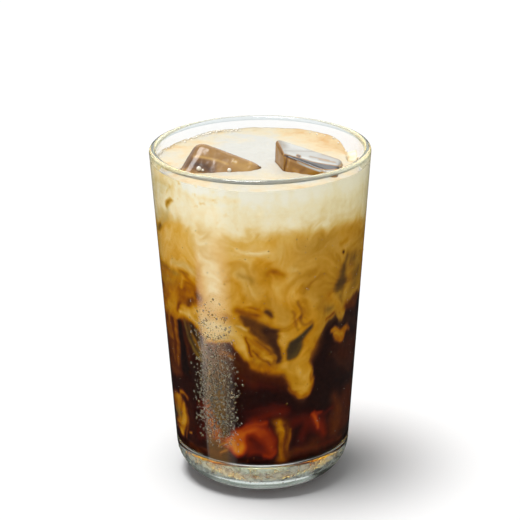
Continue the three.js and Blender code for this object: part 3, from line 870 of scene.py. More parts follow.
def add_node(tree, kind, inputs=None, stops=None, **settings):
    """Adds a shader node with its settings, its colour stops, and its inputs as values or links. A
    node given as an input links its first output, and a hex colour is turned to linear."""
    node = tree.nodes.new("ShaderNode" + kind)
    for name, value in settings.items():
        setattr(node, name, value)
    for key, value in (inputs or {}).items():
        if isinstance(value, bpy.types.Node):
            value = value.outputs[0]
        if isinstance(value, str):
            value = linear(value)
        if isinstance(value, bpy.types.NodeSocket):
            tree.links.new(value, node.inputs[key])
        else:
            node.inputs[key].default_value = value
    if stops:
        elements = node.color_ramp.elements
        while len(elements) < len(stops):
            elements.new(0.5)
        for element, (position, colour) in zip(elements, stops):
            element.position = position
            element.color = linear(colour) if isinstance(colour, str) else colour
    return node


def new_material(name):
    """An empty node material and its tree."""
    material = bpy.data.materials.new(name)
    material.use_nodes = True
    material.node_tree.nodes.clear()
    return material, material.node_tree


def surfaced(material, inputs, **others):
    """The material, once its surface has these inputs and its output any others."""
    tree = material.node_tree
    shader = add_node(tree, "BsdfPrincipled", inputs)
    add_node(tree, "OutputMaterial", {"Surface": shader, **others})
    return material


# Lumps of the stippled finish of the foot, and how deep they are
STIPPLE_SIZE = 2.2 * MM
STIPPLE_DEPTH = 0.3 * MM
GLASS_IOR = 1.5


def glass_material(name="pressed_soda_lime_glass", passed=(1, 1, 1, 1), clear=(1.0, 1.0)):
    """Pressed soda-lime glass, fire-polished: clear, with a green that gathers in its thick base.
    Clear gives the least and the most of the light that goes through, mottled between them."""
    settings = bpy.context.scene.tumbler_settings
    material, tree = new_material(name)
    finish = {
        "Base Color": passed, "Roughness": 0.0, "IOR": GLASS_IOR, "Transmission Weight": clear[1],
    }
    if clear[0] < clear[1]:
        place = add_node(tree, "TexCoord").outputs["Object"]
        mottle = add_node(tree, "TexNoise", {
            "Vector": place, "Scale": 1 / STIPPLE_SIZE, "Detail": 3.0, "Distortion": 0.8,
        })
        finish["Transmission Weight"] = add_node(tree, "MapRange", {
            "Value": mottle, "From Min": 0.35, "From Max": 0.65, "To Min": clear[0], "To Max": clear[1],
        })
        finish["Normal"] = add_node(tree, "Bump", {
            "Height": mottle, "Strength": 0.4, "Distance": STIPPLE_DEPTH,
        })
    tinted = add_node(tree, "VolumeAbsorption", {
        "Color": (*settings.tint, 1), "Density": settings.tint_density,
    })
    return surfaced(material, finish, Volume=tinted)


# Colours from black coffee (0) to milk foam (1), warm and in cooler light, as they show
WARM_STOPS = (
    (0.0, "#140402"), (0.08, "#290b04"), (0.16, "#3f1705"), (0.25, "#5c2b08"), (0.34, "#854706"),
    (0.42, "#a66303"), (0.50, "#ba7b07"), (0.58, "#cc8e20"), (0.66, "#d99f38"), (0.74, "#e2b054"),
    (0.82, "#ecc67a"), (0.89, "#f7dda2"), (0.95, "#fff1ca"), (1.0, "#fffae8"),
)
COOL_STOPS = (
    (0.0, "#0c0605"), (0.08, "#1e120e"), (0.16, "#2d2217"), (0.25, "#493a1c"), (0.34, "#664f1e"),
    (0.42, "#7b5d1e"), (0.50, "#8e6c24"), (0.58, "#9d7930"), (0.66, "#ab8740"), (0.74, "#b89954"),
    (0.82, "#c2a96b"), (0.89, "#c9b67e"), (0.95, "#d5c795"), (1.0, "#ddd3ac"),
)
# Colours of lamplight through the coffee
GLOW_STOPS = (
    (0.0, "#0b0403"), (0.2, "#2c0705"), (0.35, "#561305"), (0.5, "#7c2206"), (0.65, "#a63c0a"),
    (0.8, "#c4580c"), (1.0, "#e08416"),
)


# Wisps of milk too fine for the streaks: their size, and how much milk they add or take
WISP_SIZE = 1.8 * MM
WISP_MILK = 0.08
# Coffee against glass: 1.34 over 1.5, because it is only seen through the glass
COFFEE_IN_GLASS_IOR = 0.893
WATER_IOR = 1.33
MILK_IOR = 1.34
ICE_IOR = 1.31


def liquid_material(name):
    """Coffee with milk clouding into it, wet against glass: black through amber and tan to cream."""
    material, tree = new_material(name)
    place = add_node(tree, "TexCoord").outputs["Object"]
    milk, warmth, glow = (
        add_node(tree, "Attribute", attribute_name=number).outputs["Fac"]
        for number in ("milk", "warmth", "glow")
    )
    wisps = add_node(tree, "TexNoise", {
        "Vector": place, "Scale": 1 / WISP_SIZE, "Detail": 3.0, "Roughness": 0.6,
    })
    offset = add_node(
        tree, "Math", {0: wisps, 1: WISP_MILK, 2: -WISP_MILK / 2}, operation="MULTIPLY_ADD"
    )
    clouded = add_node(tree, "Math", {0: milk, 1: offset}, operation="ADD")
    cool, warm, lit = (
        add_node(tree, "ValToRGB", {"Fac": level}, [(at, behind_glass(c)) for at, c in stops])
        for level, stops in ((clouded, COOL_STOPS), (clouded, WARM_STOPS), (glow, GLOW_STOPS))
    )
    body = add_node(tree, "Mix", {0: warmth, 6: cool, 7: warm}, data_type="RGBA")
    glowing = add_node(tree, "MapRange", {
        "Value": glow, "From Min": 0.05, "From Max": 0.4, "To Min": 0.0, "To Max": 0.9,
    })
    clear = add_node(tree, "MapRange", {
        "Value": milk, "From Min": 0.3, "From Max": 0.5, "To Min": 1.0, "To Max": 0.0,
    })
    seen = add_node(tree, "Math", {0: glowing, 1: clear}, operation="MULTIPLY")
    colour = add_node(
        tree, "Mix", {0: seen, 6: body.outputs[2], 7: lit}, data_type="RGBA"
    )
    return surfaced(material, {
        "Base Color": colour.outputs[2], "Roughness": 0.0, "IOR": COFFEE_IN_GLASS_IOR,
    })


# Froth's mottling, how much stain it adds or takes, and the bubbles in its skin, drawn coarse
# enough to show
FROTH_SIZE = 1.2 * MM
FROTH_STAIN = 0.3
FROTH_CELL = 0.7 * MM
FROTH_RELIEF = 0.15 * MM


def foam_material():
    """Fine milk foam, soft and matt, stained orange where coffee has come up through it."""
    settings = bpy.context.scene.drink_settings
    material, tree = new_material("fine_milk_foam")
    place = add_node(tree, "TexCoord").outputs["Object"]
    stain = add_node(tree, "Attribute", attribute_name="stain").outputs["Fac"]
    froth = add_node(tree, "TexNoise", {
        "Vector": place, "Scale": 1 / FROTH_SIZE, "Detail": 4.0, "Roughness": 0.65,
    })
    spread = add_node(
        tree, "Math", {0: froth, 1: FROTH_STAIN, 2: -FROTH_STAIN / 2},
        operation="MULTIPLY_ADD",
    )
    stained = add_node(tree, "Math", {0: stain, 1: spread}, operation="ADD")
    colour = add_node(tree, "ValToRGB", {"Fac": stained}, (
        (0.0, "#cdccc4"), (0.25, (*settings.foam, 1)), (0.5, "#dcc69c"),
        (0.75, "#d3ab74"), (1.0, "#b98348"),
    ))
    cells = add_node(tree, "TexVoronoi", {"Vector": place, "Scale": 1 / FROTH_CELL})
    bump = add_node(tree, "Bump", {
        "Height": cells, "Strength": 0.25, "Distance": FROTH_RELIEF,
    })
    return surfaced(material, {
        "Base Color": colour, "Roughness": 0.5, "IOR": MILK_IOR, "Normal": bump,
    })


# Clouds of coffee in a socket, and between which heights it turns from brown to tan
SOCKET_CLOUD = 6 * MM
SOCKET_DARK = 104 * MM
SOCKET_PALE = 121 * MM


def socket_material():
    """Coffee-stained foam round the ice: brown, darker where it is deep, seen through the ice."""
    material, tree = new_material("coffee_stained_foam")
    place = add_node(tree, "TexCoord").outputs["Object"]
    height = add_node(tree, "SeparateXYZ", {"Vector": place}).outputs["Z"]
    cloud = add_node(tree, "TexNoise", {
        "Vector": place, "Scale": 1 / SOCKET_CLOUD, "Detail": 3.0,
    })
    depth = add_node(tree, "MapRange", {
        "Value": height, "From Min": SOCKET_DARK, "From Max": SOCKET_PALE,
    })
    mixed = add_node(
        tree, "Math", {0: cloud, 1: 0.5, 2: depth}, operation="MULTIPLY_ADD"
    )
    colour = add_node(tree, "ValToRGB", {"Fac": mixed}, (
        (0.2, "#3d2412"), (0.55, "#74522e"), (0.85, "#a58253"),
        (1.0, "#c4a678"),
    ))
    return surfaced(material, {"Base Color": colour, "Roughness": 0.7})


# Ripples of the melting face and how deep they are, clouds in the ice, and in its film of foam
RIPPLE_SIZE = 5 * MM
RIPPLE_DEPTH = 0.6 * MM
ICE_CLOUD = 4 * MM
FILM_CLOUD = 3 * MM


def ice_material(name, stops, mottle, clearness, roughness, stretch=(1, 1, 1)):
    """Melting ice, wet: cloudy inside with the drink's colours in it, glossy on its face, with painted
    highlights and painted shade in its colour.
    """
    material, tree = new_material(name)
    place = add_node(tree, "TexCoord").outputs["Object"]
    ripple = add_node(tree, "TexNoise", {
        "Vector": place, "Scale": 1 / RIPPLE_SIZE, "Detail": 2.0,
    })
    bump = add_node(tree, "Bump", {
        "Height": ripple, "Strength": 0.5, "Distance": RIPPLE_DEPTH,
    })
    drawn = add_node(tree, "VectorMath", {0: place, 1: stretch}, operation="MULTIPLY")
    cloud = add_node(tree, "TexNoise", {
        "Vector": drawn, "Scale": 1 / ICE_CLOUD, "Detail": 3.0, "Distortion": 0.6,
    })
    shade = add_node(tree, "Attribute", attribute_name="shade").outputs["Fac"]
    offset = add_node(
        tree, "Math", {0: cloud, 1: mottle, 2: -mottle / 2}, operation="MULTIPLY_ADD"
    )
    level = add_node(tree, "Math", {0: shade, 1: offset}, operation="ADD")
    colour = add_node(tree, "ValToRGB", {"Fac": level}, stops)
    return surfaced(material, {
        "Base Color": colour, "Roughness": roughness, "IOR": ICE_IOR,
        "Transmission Weight": clearness, "Normal": bump,
    })


def coated_ice_material():
    """Ice under a film of milk foam: cream, wet, with orange clouded through it."""
    material, tree = new_material("foam_film_on_ice")
    place = add_node(tree, "TexCoord").outputs["Object"]
    cloud = add_node(tree, "TexNoise", {
        "Vector": place, "Scale": 1 / FILM_CLOUD, "Detail": 3.0,
    })
    colour = add_node(tree, "ValToRGB", {"Fac": cloud}, (
        (0.3, "#fbf2da"), (0.5, "#f3e0b4"), (0.7, "#e6c182"),
    ))
    return surfaced(material, {"Base Color": colour, "Roughness": 0.3, "IOR": WATER_IOR})


def water_material():
    """Condensed water: drops that bend the light and glint a little white."""
    return surfaced(new_material("condensed_water")[0], {
        "Base Color": "#f0e6d4", "Roughness": 0.0, "IOR": WATER_IOR,
        "Transmission Weight": 0.965,
    })


def bubble_material():
    """Thin-skinned bubbles of milk: white and glossy."""
    return surfaced(new_material("milk_bubble_skin")[0], {
        "Base Color": "#f6efe0", "Roughness": 0.05, "IOR": WATER_IOR,
    })


class ICED_COFFEE_OT_tumbler(bpy.types.Operator):
    """Spin the tumbler from its outline"""

    bl_idname = "iced_coffee.tumbler"
    bl_label = "Tumbler"

    def execute(self, context):
        columns = context.scene.tumbler_settings.columns
        tumbler = piece(
            spun(glass_outline(), columns), "tumbler", glass_material(),
            glass_material("stippled_glass_foot", "#ccd6cc", (0.35, 0.85)),
            glass_material("fire_polished_glass_lip", "#d2dee0"),
        )
        x, y, z = read_rows(tumbler.data.polygons, "center").T
        outside = np.hypot(x, y) > inner_radius(z) + WALL / 2
        zone = np.where((z < FOOT_TOP) & outside, 1, np.where(z > HEIGHT - LIP_HEIGHT, 2, 0))
        tumbler.data.polygons.foreach_set("material_index", zone.astype(np.int32))
        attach(tumbler, BODY)
        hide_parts("glass")
        return {"FINISHED"}


def paint_wall(made):
    """Gives a layer the numbers that its liquid material reads."""
    swirl = bpy.context.scene.drink_settings.swirl
    milk, glow, warmth = wall_paint(read_rows(made.data.vertices, "co"), swirl)
    set_values(made.data, "milk", milk)
    set_values(made.data, "glow", glow)
    set_values(made.data, "warmth", warmth)


class ICED_COFFEE_OT_liquids(bpy.types.Operator):
    """Fill the tumbler with coffee and the milky coffee above it"""

    bl_idname = "iced_coffee.liquids"
    bl_label = "Coffee and milky coffee"

    def execute(self, context):
        coffee = layer(
            "black_coffee", coffee_bottom, coffee_top, COFFEE_ROWS, FILLET_RINGS, RINGS,
            liquid_material("black_coffee_with_milk"),
        )
        milky = layer(
            "milky_coffee", coffee_top, foam_bottom, MILKY_ROWS, RINGS, RINGS,
            liquid_material("coffee_clouded_with_milk"),
        )
        for made, node in ((coffee, "coffee"), (milky, "milk_coffee")):
            paint_wall(made)
            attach(made, BODY)
            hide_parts(node)
        return {"FINISHED"}


# Lumps of the foam's top by their size in mm, the small ones' share, and how high and how far
# from the glass it climbs
LUMP_SIZE = 9
SMALL_LUMP_SIZE = 2.2
SMALL_LUMPS = 0.4
MENISCUS = 0.9 * MM


def foam_surface(angle, share):
    """The foam's top: soft lumps, a pocket by the rim ice, and a meniscus that climbs the glass."""
    relief = bpy.context.scene.drink_settings.relief
    radius = share * drink_radius(SURFACE) / MM
    points = np.stack([radius * np.sin(angle), -radius * np.cos(angle), np.zeros_like(radius)], axis=1)
    lumps = layered_noise(points, LUMP_SIZE, seed=5)
    lumps = lumps + SMALL_LUMPS * layered_noise(points, SMALL_LUMP_SIZE, seed=15, octaves=2)
    edge = swell(SURFACE_DIPS, angle) * share ** POCKET_BIAS
    meniscus = MENISCUS * np.exp((share - 1) * drink_radius(SURFACE) / MENISCUS)
    return SURFACE + edge + relief * lumps + meniscus


def cut_sockets(made, names, material):
    """Cuts the sockets of the named blocks of ice out of a layer, stained where the ice sits."""
    for name in names:
        shell = ice_block(name, SOCKET_CUTS, SOCKET_GAP)
        cutter = piece(shell, name + "_cutter", *[None] * SOCKET_SLOT, material)
        cutter.data.polygons.foreach_set("material_index", [SOCKET_SLOT] * len(cutter.data.polygons))
        socket = made.modifiers.new("socket", "BOOLEAN")
        socket.operation = "DIFFERENCE"
        socket.solver = "EXACT"
        socket.object = cutter
        shaped = bpy.data.meshes.new_from_object(
            made.evaluated_get(bpy.context.evaluated_depsgraph_get())
        )
        made.modifiers.clear()
        old = made.data
        made.data = shaped
        bpy.data.meshes.remove(old)
        bpy.data.objects.remove(cutter)


# How coffee stains the foam's top: all over, more towards the rim and at the sides, in veins that
# drift, and less in a white middle; places, half widths and sizes in mm
STAIN = 0.20
RIM_STAIN = 0.14
RIM_FROM = (16, 34)
RIGHT_STAIN = 0.07
RIGHT_FROM = (12, 26)
LEFT_STAIN = 0.08
LEFT_FROM = (-14, -28)
VEIN_STAIN = 0.42
VEIN_MIDDLE = 0.3
VEIN_SIZE = 7
VEIN_DRIFT = 6
DRIFT_SIZE = 12
WHITENESS = 0.4
WHITE_MIDDLE = (-2, 9)
WHITE_REACH = (12, 18)


def surface_stain(points):
    """How far coffee has stained the foam's top: 0 white, 0.25 cream, 1 orange."""
    x, y, _ = points.T / MM
    flat = np.stack([x, y, np.zeros_like(x)], axis=1)
    drift = [layered_noise(flat, DRIFT_SIZE, seed) for seed in (41, 43)] + [np.zeros_like(x)]
    drifted = flat + VEIN_DRIFT * np.stack(drift, axis=1)
    veins = layered_noise(drifted, VEIN_SIZE, seed=47, octaves=4)
    off_middle = [((v - m) / r) ** 2 for v, m, r in zip((x, y), WHITE_MIDDLE, WHITE_REACH)]
    white = np.exp(-off_middle[0] - off_middle[1])
    rim = smooth(*RIM_FROM, np.hypot(x, y))
    sides = RIGHT_STAIN * smooth(*RIGHT_FROM, x) + LEFT_STAIN * smooth(*LEFT_FROM, x)
    veined = VEIN_STAIN * veins * (VEIN_MIDDLE + rim)
    return np.clip(STAIN + RIM_STAIN * rim + sides + veined - WHITENESS * white, 0, 1)


class ICED_COFFEE_OT_foam(bpy.types.Operator):
    """Lay the milk foam on the drink, with sockets for the floating ice"""

    bl_idname = "iced_coffee.foam"
    bl_label = "Milk foam"

    def execute(self, context):
        foam = layer(
            "milk_foam_head", foam_bottom, foam_surface, FOAM_ROWS, RINGS, SURFACE_RINGS,
            foam_material(), liquid_material("milk_foam_against_glass"),
        )
        x, y, z = read_rows(foam.data.polygons, "center").T
        against_glass = np.hypot(x, y) > WALL_SHARE * drink_radius(z)
        foam.data.polygons.foreach_set("material_index", against_glass.astype(np.int32))
        cut_sockets(foam, ("ice_left", "ice_right", "ice_rim"), socket_material())
        paint_wall(foam)
        set_values(foam.data, "stain", surface_stain(read_rows(foam.data.vertices, "co")))
        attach(foam, BODY)
        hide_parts("milk_foam")
        return {"FINISHED"}


# How far above the level the eye is that sees what shows in the ice
ICE_VIEW = math.radians(21)
# How light a block's sides are, how much lighter its top is painted as light from the sky above, and how far
# up a face has to point
ICE_SHADES = {"ice_left": (0.40, 0.08), "ice_right": (0.38, 0.45)}
FACING_UP = (0.3, 0.85)
# What shows in the ice: 0 almost black, 0.3 brown, 0.45 tan, 0.7 grey, 1 white; then softness in mm
# and a chain of places, each as shares of the block's width, depth and height from its left, front
# and lower side, with a half width in mm
# Some streaks are painted light: a lighter top, highlight lines, and shade along edges
ICE_STREAKS = {
    "ice_left": (
        # tan face, dark left edge, brown low left under a curved light line, paler low right
        (0.50, 2.5, ((0.25, 0.85, 1, 1.8), (0.4, 0.8, 1, 1.8))),
        (0.20, 1.2, ((0.05, 0.77, 1, 0.4), (0.05, 0.58, 1, 0.6), (0.06, 0.35, 1, 0.6))),
        (0.48, 1.5, ((0.1, 0.75, 1, 0.45), (0.1, 0.6, 1, 0.5))),
        (0.0, 3.0, ((0.15, 0.45, 1, 1.2), (0.3, 0.5, 1, 1.4), (0.4, 0.45, 1, 1.1))),
        (0.30, 1.5, ((0.15, 0.53, 1, 0.3), (0.3, 0.62, 1, 0.3), (0.4, 0.6, 1, 0.3))),
        (0.85, 0.9, ((0.1, 0.6, 1, 0.1), (0.2, 0.65, 1, 0.2), (0.4, 0.7, 1, 0.2), (0.55, 0.7, 1, 0.2))),
        (0.66, 2.5, ((0.65, 0.75, 1, 1.3), (0.85, 0.8, 1, 1.2))),
        (0.95, 1.0, ((0.6, 0.8, 1, 0.25), (0.64, 0.8, 1, 0.25))),
        (0.90, 1.0, ((0.8, 0.9, 1, 0.2), (0.82, 0.88, 1, 0.15))),
        (0.62, 1.2, ((0.4, 0.97, 1, 0.2), (0.65, 0.97, 1, 0.2), (0.9, 0.95, 1, 0.2))),
        (0.30, 1.0, ((0.93, 0.9, 1, 0.2), (0.97, 0.92, 1, 0.15))),
    ),
    "ice_right": (
        # grey to white top with tan in it, partly a painted reflection of the sky and partly the real one,
        # and a dark spot
        (0.93, 3.0, ((0.15, 0.8, 1, 0.7), (0.4, 0.9, 1, 0.7))),
        (0.62, 2.4, ((0.05, 0.85, 1, 0.9), (0.1, 0.65, 1, 0.7))),
        (0.80, 2.0, ((0.1, 0.25, 1, 1.1), (0.5, 0.25, 1, 0.9))),
        (0.92, 1.4, ((0.1, 0.2, 1, 0.4), (0.45, 0.3, 1, 0.4))),
        (0.64, 0.7, ((0.05, 0.3, 1, 0.1), (0.35, 0.65, 1, 0.15), (0.6, 0.95, 1, 0.15))),
        (0.45, 1.6, ((0.7, 0.95, 1, 0.4), (0.85, 0.95, 1, 0.5), (1, 0.9, 1, 0.4))),
        (0.25, 0.7, ((0.7, 1, 1, 0.1), (0.78, 1, 1, 0.15), (0.85, 1, 1, 0.1))),
        (0.75, 1.5, ((0.65, 0.75, 1, 0.4), (0.95, 0.8, 1, 0.4))),
        (0.47, 0.8, ((0.5, 0.5, 1, 0.1), (0.8, 0.65, 1, 0.1))),
        (0.47, 0.8, ((0.65, 0.5, 1, 0.1), (0.9, 0.65, 1, 0.2))),
        (0.95, 1.0, ((0.5, 0.25, 1, 0.3), (0.75, 0.35, 1, 0.4), (0.95, 0.45, 1, 0.2))),
        (0.60, 1.6, ((1, 0.9, 1, 0.4), (1, 0.6, 1, 0.4))),
        (-0.15, 0.7, ((0.28, 0.3, 1, 0.3), (0.31, 0.28, 1, 0.35))),
        # tan left facet with a dark edge
        (0.47, 1.6, ((0, 0.85, 0.9, 0.5), (0, 0.6, 0.8, 0.7), (0, 0.5, 0.7, 0.5))),
        (0.12, 0.7, ((0, 0.8, 1, 0.15), (0, 0.45, 1, 0.15), (0, 0.2, 0.96, 0.2))),
        # golden brown front under a dark edge painted as shade, with a painted highlight line along it
        (0.42, 1.4, ((0.04, 0, 0.9, 0.6), (0.03, 0, 0.7, 0.5))),
        (0.36, 2.0, ((0.2, 0, 0.88, 1.1), (0.2, 0, 0.75, 1.3), (0.4, 0, 0.85, 0.9))),
        (0.52, 1.4, ((0.2, 0, 0.8, 0.3), (0.28, 0, 0.78, 0.3))),
        (0.28, 1.0, ((0.33, 0, 0.8, 0.2), (0.4, 0, 0.88, 0.2))),
        (0.12, 0.6, ((0.05, 0, 1, 0.1), (0.03, 0, 0.85, 0.15), (0, 0, 0.7, 0.1))),
        (0.66, 0.6, ((0.09, 0, 0.95, 0.1), (0.07, 0, 0.8, 0.1))),
        (-0.15, 0.8, (
            (0, 0, 1, 0.25), (0.1, 0, 1, 0.45), (0.25, 0.05, 1, 0.65), (0.45, 0.06, 1, 0.8),
            (0.65, 0.1, 1, 1.05), (0.82, 0.22, 1, 1), (1, 0.45, 1, 0.35),
        )),
        (1.00, 0.6, ((0.25, 0, 0.96, 0.15), (0.45, 0, 0.94, 0.2), (0.7, 0, 0.94, 0.2))),
    ),
}


def as_seen(points):
    """Where points lie across and up for an eye in front, a little above."""
    x, y, z = points.T
    return x, y * math.sin(ICE_VIEW) + z * math.cos(ICE_VIEW)


def ice_shade(name, points, normals):
    """How light each point of a block looks, painted light and shade included: points in mm, 0 the darkest,
    1 the whitest.
    """
    side, lift = ICE_SHADES[name]
    # The lift lightens up-facing faces as painted light from the sky
    shade = side + lift * smooth(*FACING_UP, normals[:, 2])
    across, up = as_seen(points)
    top, bottom = (np.array(ring) for ring in ICE_CORNERS[name])
    for level, soft, chain in ICE_STREAKS[name]:
        seen = [(*as_seen(in_block(top, bottom, *place)), width) for *place, width in chain]
        shade = blended(shade, level, streak_weight(across, up, seen, soft, spread=1.0))
    return shade


class ICED_COFFEE_OT_floating_ice(bpy.types.Operator):
    """Set the three blocks of ice in the foam"""

    bl_idname = "iced_coffee.floating_ice"
    bl_label = "Floating ice"

    def execute(self, context):
        melt = context.scene.ice_settings.melt
        cloudy = ice_material("cloudy_melting_ice", (
            (0.0, "#4a2a0e"), (0.3, "#7c5426"), (0.5, "#ab8042"),
            (0.75, "#cda25a"), (1.0, "#e2d2ac"),
        ), mottle=0.22, clearness=0.12, roughness=0.16)
        clear = ice_material("clear_melting_ice", (
            (0.0, "#120b06"), (0.25, "#784a1a"), (0.45, "#c08a34"),
            (0.65, "#aea699"), (0.8, "#c6c6be"), (1.0, "#e8e9e2"),
        ), mottle=0.18, clearness=0.15, roughness=0.03, stretch=(0.3, 1.5, 1))
        finishes = {"ice_left": cloudy, "ice_right": clear, "ice_rim": coated_ice_material()}
        for name, finish in finishes.items():
            block = piece(ice_block(name, ICE_CUTS), name + "_block", finish)
            points = read_rows(block.data.vertices, "co")
            normals = read_rows(block.data.vertices, "normal")
            hollows = np.minimum(layered_noise(points / MM, HOLLOW_SIZE, seed=61, octaves=2), 0)
            melted = points + normals * (hollows * melt)[:, None]
            melted[:, 2] = np.minimum(melted[:, 2], CAD_BOX[1].z)
            set_points(block.data, melted)
            if name in ICE_STREAKS:
                set_values(block.data, "shade", ice_shade(name, points / MM, normals))
            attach(block, BODY)
            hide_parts(name)
        return {"FINISHED"}


# Single bubbles: place and radius in mm
BUBBLES = (
    (-21.8, -13.5, 121.2, 0.9), (-11, -13.3, 120.5, 0.75), (-20.4, -13.8, 120.7, 0.5),
)
# Rows of bubbles along the glass: from and to in degrees, and how many
BUBBLE_ARCS = (
    (-168, -128, 34),
    (-122, -96, 8),
    (110, 150, 8),
)
# How far out they lie in mm, how far they stray in degrees and mm, and their radii in mm
BUBBLE_RIM = 36.7
BUBBLE_STRAY = (0.4, 0.5)
BUBBLE_RADII = (0.25, 0.6)
# Single droplets: heights, then the smallest radius and how much the largest adds, all in mm, and
# how much rarer the large ones are
LOOSE_HEIGHTS = (20, 104)
LOOSE_RADII = (0.10, 0.16, 3)
# The crowd where the window lights the front: its share of the droplets, its sides and how far it
# strays past them in degrees, its lowest, commonest and highest mm, and its radii as above
CROWD_SHARE = 0.55
CROWD_SIDES = (-42, -18)
CROWD_STRAY = 3
CROWD_HEIGHTS = (19, 32, 80)
CROWD_RADII = (0.16, 0.36, 2)
# The droplets round the foot
FOOT_SHARE = 0.15
FOOT_HEIGHTS = (3.5, 9, 13)
FOOT_RADII = (0.12, 0.24, 2)
# How much longer a droplet hangs than it is wide
DROPLET_SAG = 1.1
# Where a droplet's ball is cut, and how far the cap sinks into the glass, as shares of its radius
CAP_CUT = 0.5
CAP_SINK = 0.04


def outside_at(height):
    """The outside of the glass at a height: its radius, and how far it faces down in radians."""
    if height > CORNER_RADIUS * (1 - math.sin(WALL_LEAN)):
        return outer_radius(height), WALL_LEAN
    centre = outer_radius(CORNER_RADIUS) - CORNER_RADIUS / math.cos(WALL_LEAN)
    down = math.asin((CORNER_RADIUS - height) / CORNER_RADIUS)
    return centre + CORNER_RADIUS * math.cos(down), down


def droplet_cap():
    """The cap of a ball as a closed shell, 1 in radius where it sits on the glass."""
    cap = bmesh.new()
    bmesh.ops.create_uvsphere(cap, u_segments=10, v_segments=10, radius=1)
    cut = bmesh.ops.bisect_plane(
        cap, geom=cap.verts[:] + cap.edges[:] + cap.faces[:], plane_co=(0, 0, CAP_CUT),
        plane_no=(0, 0, -1), clear_outer=True,
    )["geom_cut"]
    rim = [part for part in cut if isinstance(part, bmesh.types.BMEdge)]
    bmesh.ops.holes_fill(cap, edges=rim, sides=0)
    bmesh.ops.translate(cap, vec=(0, 0, -CAP_CUT - CAP_SINK), verts=cap.verts)
    bmesh.ops.scale(cap, vec=(1 / math.sqrt(1 - CAP_CUT ** 2),) * 3, verts=cap.verts)
    bmesh.ops.recalc_face_normals(cap, faces=cap.faces)
    return cap


def drawn_radius(draw, least, more, rarity):
    """A droplet's random radius, the large ones rarer."""
    return (least + more * draw.random() ** rarity) * MM


class ICED_COFFEE_OT_droplets(bpy.types.Operator):
    """Scatter condensed droplets over the outside of the glass"""

    bl_idname = "iced_coffee.droplets"
    bl_label = "Droplets"

    def execute(self, context):
        settings = context.scene.droplet_settings
        draw = np.random.default_rng(settings.seed)
        drops = bmesh.new()
        cap = droplet_cap()
        for _ in range(settings.count):
            angle = draw.uniform(-math.pi, math.pi)
            height = draw.uniform(*LOOSE_HEIGHTS) * MM
            radius = drawn_radius(draw, *LOOSE_RADII)
            kind = draw.random()
            if kind < CROWD_SHARE:
                angle = math.radians(draw.uniform(*CROWD_SIDES) + draw.normal(0, CROWD_STRAY))
                height = draw.triangular(*CROWD_HEIGHTS) * MM
                radius = drawn_radius(draw, *CROWD_RADII)
            elif kind < CROWD_SHARE + FOOT_SHARE:
                height = draw.triangular(*FOOT_HEIGHTS) * MM
                radius = drawn_radius(draw, *FOOT_RADII)
            reach, slope = outside_at(height)
            place = Vector((reach * math.sin(angle), -reach * math.cos(angle), height))
            seat = Matrix.Rotation(angle, 4, "Z") @ Matrix.Rotation(math.pi / 2 + slope, 4, "X")
            shape = Matrix.Diagonal((radius, radius * DROPLET_SAG, radius, 1))
            add_copy(drops, cap, Matrix.Translation(place) @ seat @ shape)
        cap.free()
        made = piece(drops, "condensed_droplets", water_material())
        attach(made, BODY)
        return {"FINISHED"}


class ICED_COFFEE_OT_bubbles(bpy.types.Operator):
    """Set bubbles of milk along the foam's edge and beside the ice"""

    bl_idname = "iced_coffee.bubbles"
    bl_label = "Bubbles"

    def execute(self, context):
        draw = np.random.default_rng(context.scene.droplet_settings.seed)
        bubbles = bmesh.new()
        ball = bmesh.new()
        bmesh.ops.create_uvsphere(ball, u_segments=16, v_segments=10, radius=1)
        spots = list(BUBBLES)
        stray, inwards = BUBBLE_STRAY
        for start, end, count in BUBBLE_ARCS:
            for angle in np.radians(np.linspace(start, end, count) + draw.normal(0, stray, count)):
                reach = BUBBLE_RIM - abs(draw.normal(0, inwards))
                share = reach * MM / drink_radius(SURFACE)
                level = foam_surface(np.array([angle]), np.array([share]))[0] / MM
                radius = draw.uniform(*BUBBLE_RADII)
                spots.append((reach * math.sin(angle), -reach * math.cos(angle), level, radius))
        for x, y, z, radius in spots:
            place = Matrix.Translation(Vector((x, y, z)) * MM)
            add_copy(bubbles, ball, place @ Matrix.Scale(radius * MM, 4))
        ball.free()
        made = piece(bubbles, "milk_bubbles", bubble_material())
        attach(made, BODY)
        return {"FINISHED"}


# The camera as the photograph has it: its place and aim, its roll, its lens and its sensor in mm
CAMERA_PLACE = Vector((0, -934.3, 419.0)) * MM
CAMERA_AIM = Vector((-0.4, 0, 81.7)) * MM
CAMERA_ROLL = math.radians(-0.5)
LENS = 188.85
SENSOR = 36
# The side of the floor in metres
FLOOR_SIZE = 12.0
# Bounces of light: many, because it crosses the glass, the droplets and the ice
CLEAR_BOUNCES = 32
SOFT_BOUNCES = 8
# Light on the floor and on the drink behind its glass
FLOOR_LIGHT = 0.3
DRINK_LIGHT = 1.68
# What the glass mirrors: a sky that brightens from the horizon up, and a lit panel at the left, in
# degrees round from the front, with a crisp left edge and a long fade at its right
SKY_LIGHT = 3.0
PANEL_LIGHT = 3.6
PANEL_LEFT = (-83, -77)
PANEL_RIGHT = (-34, -52)
# What the glass bends to the eye: a bright back, this many degrees either side
BACK_EDGE = (27, 33)
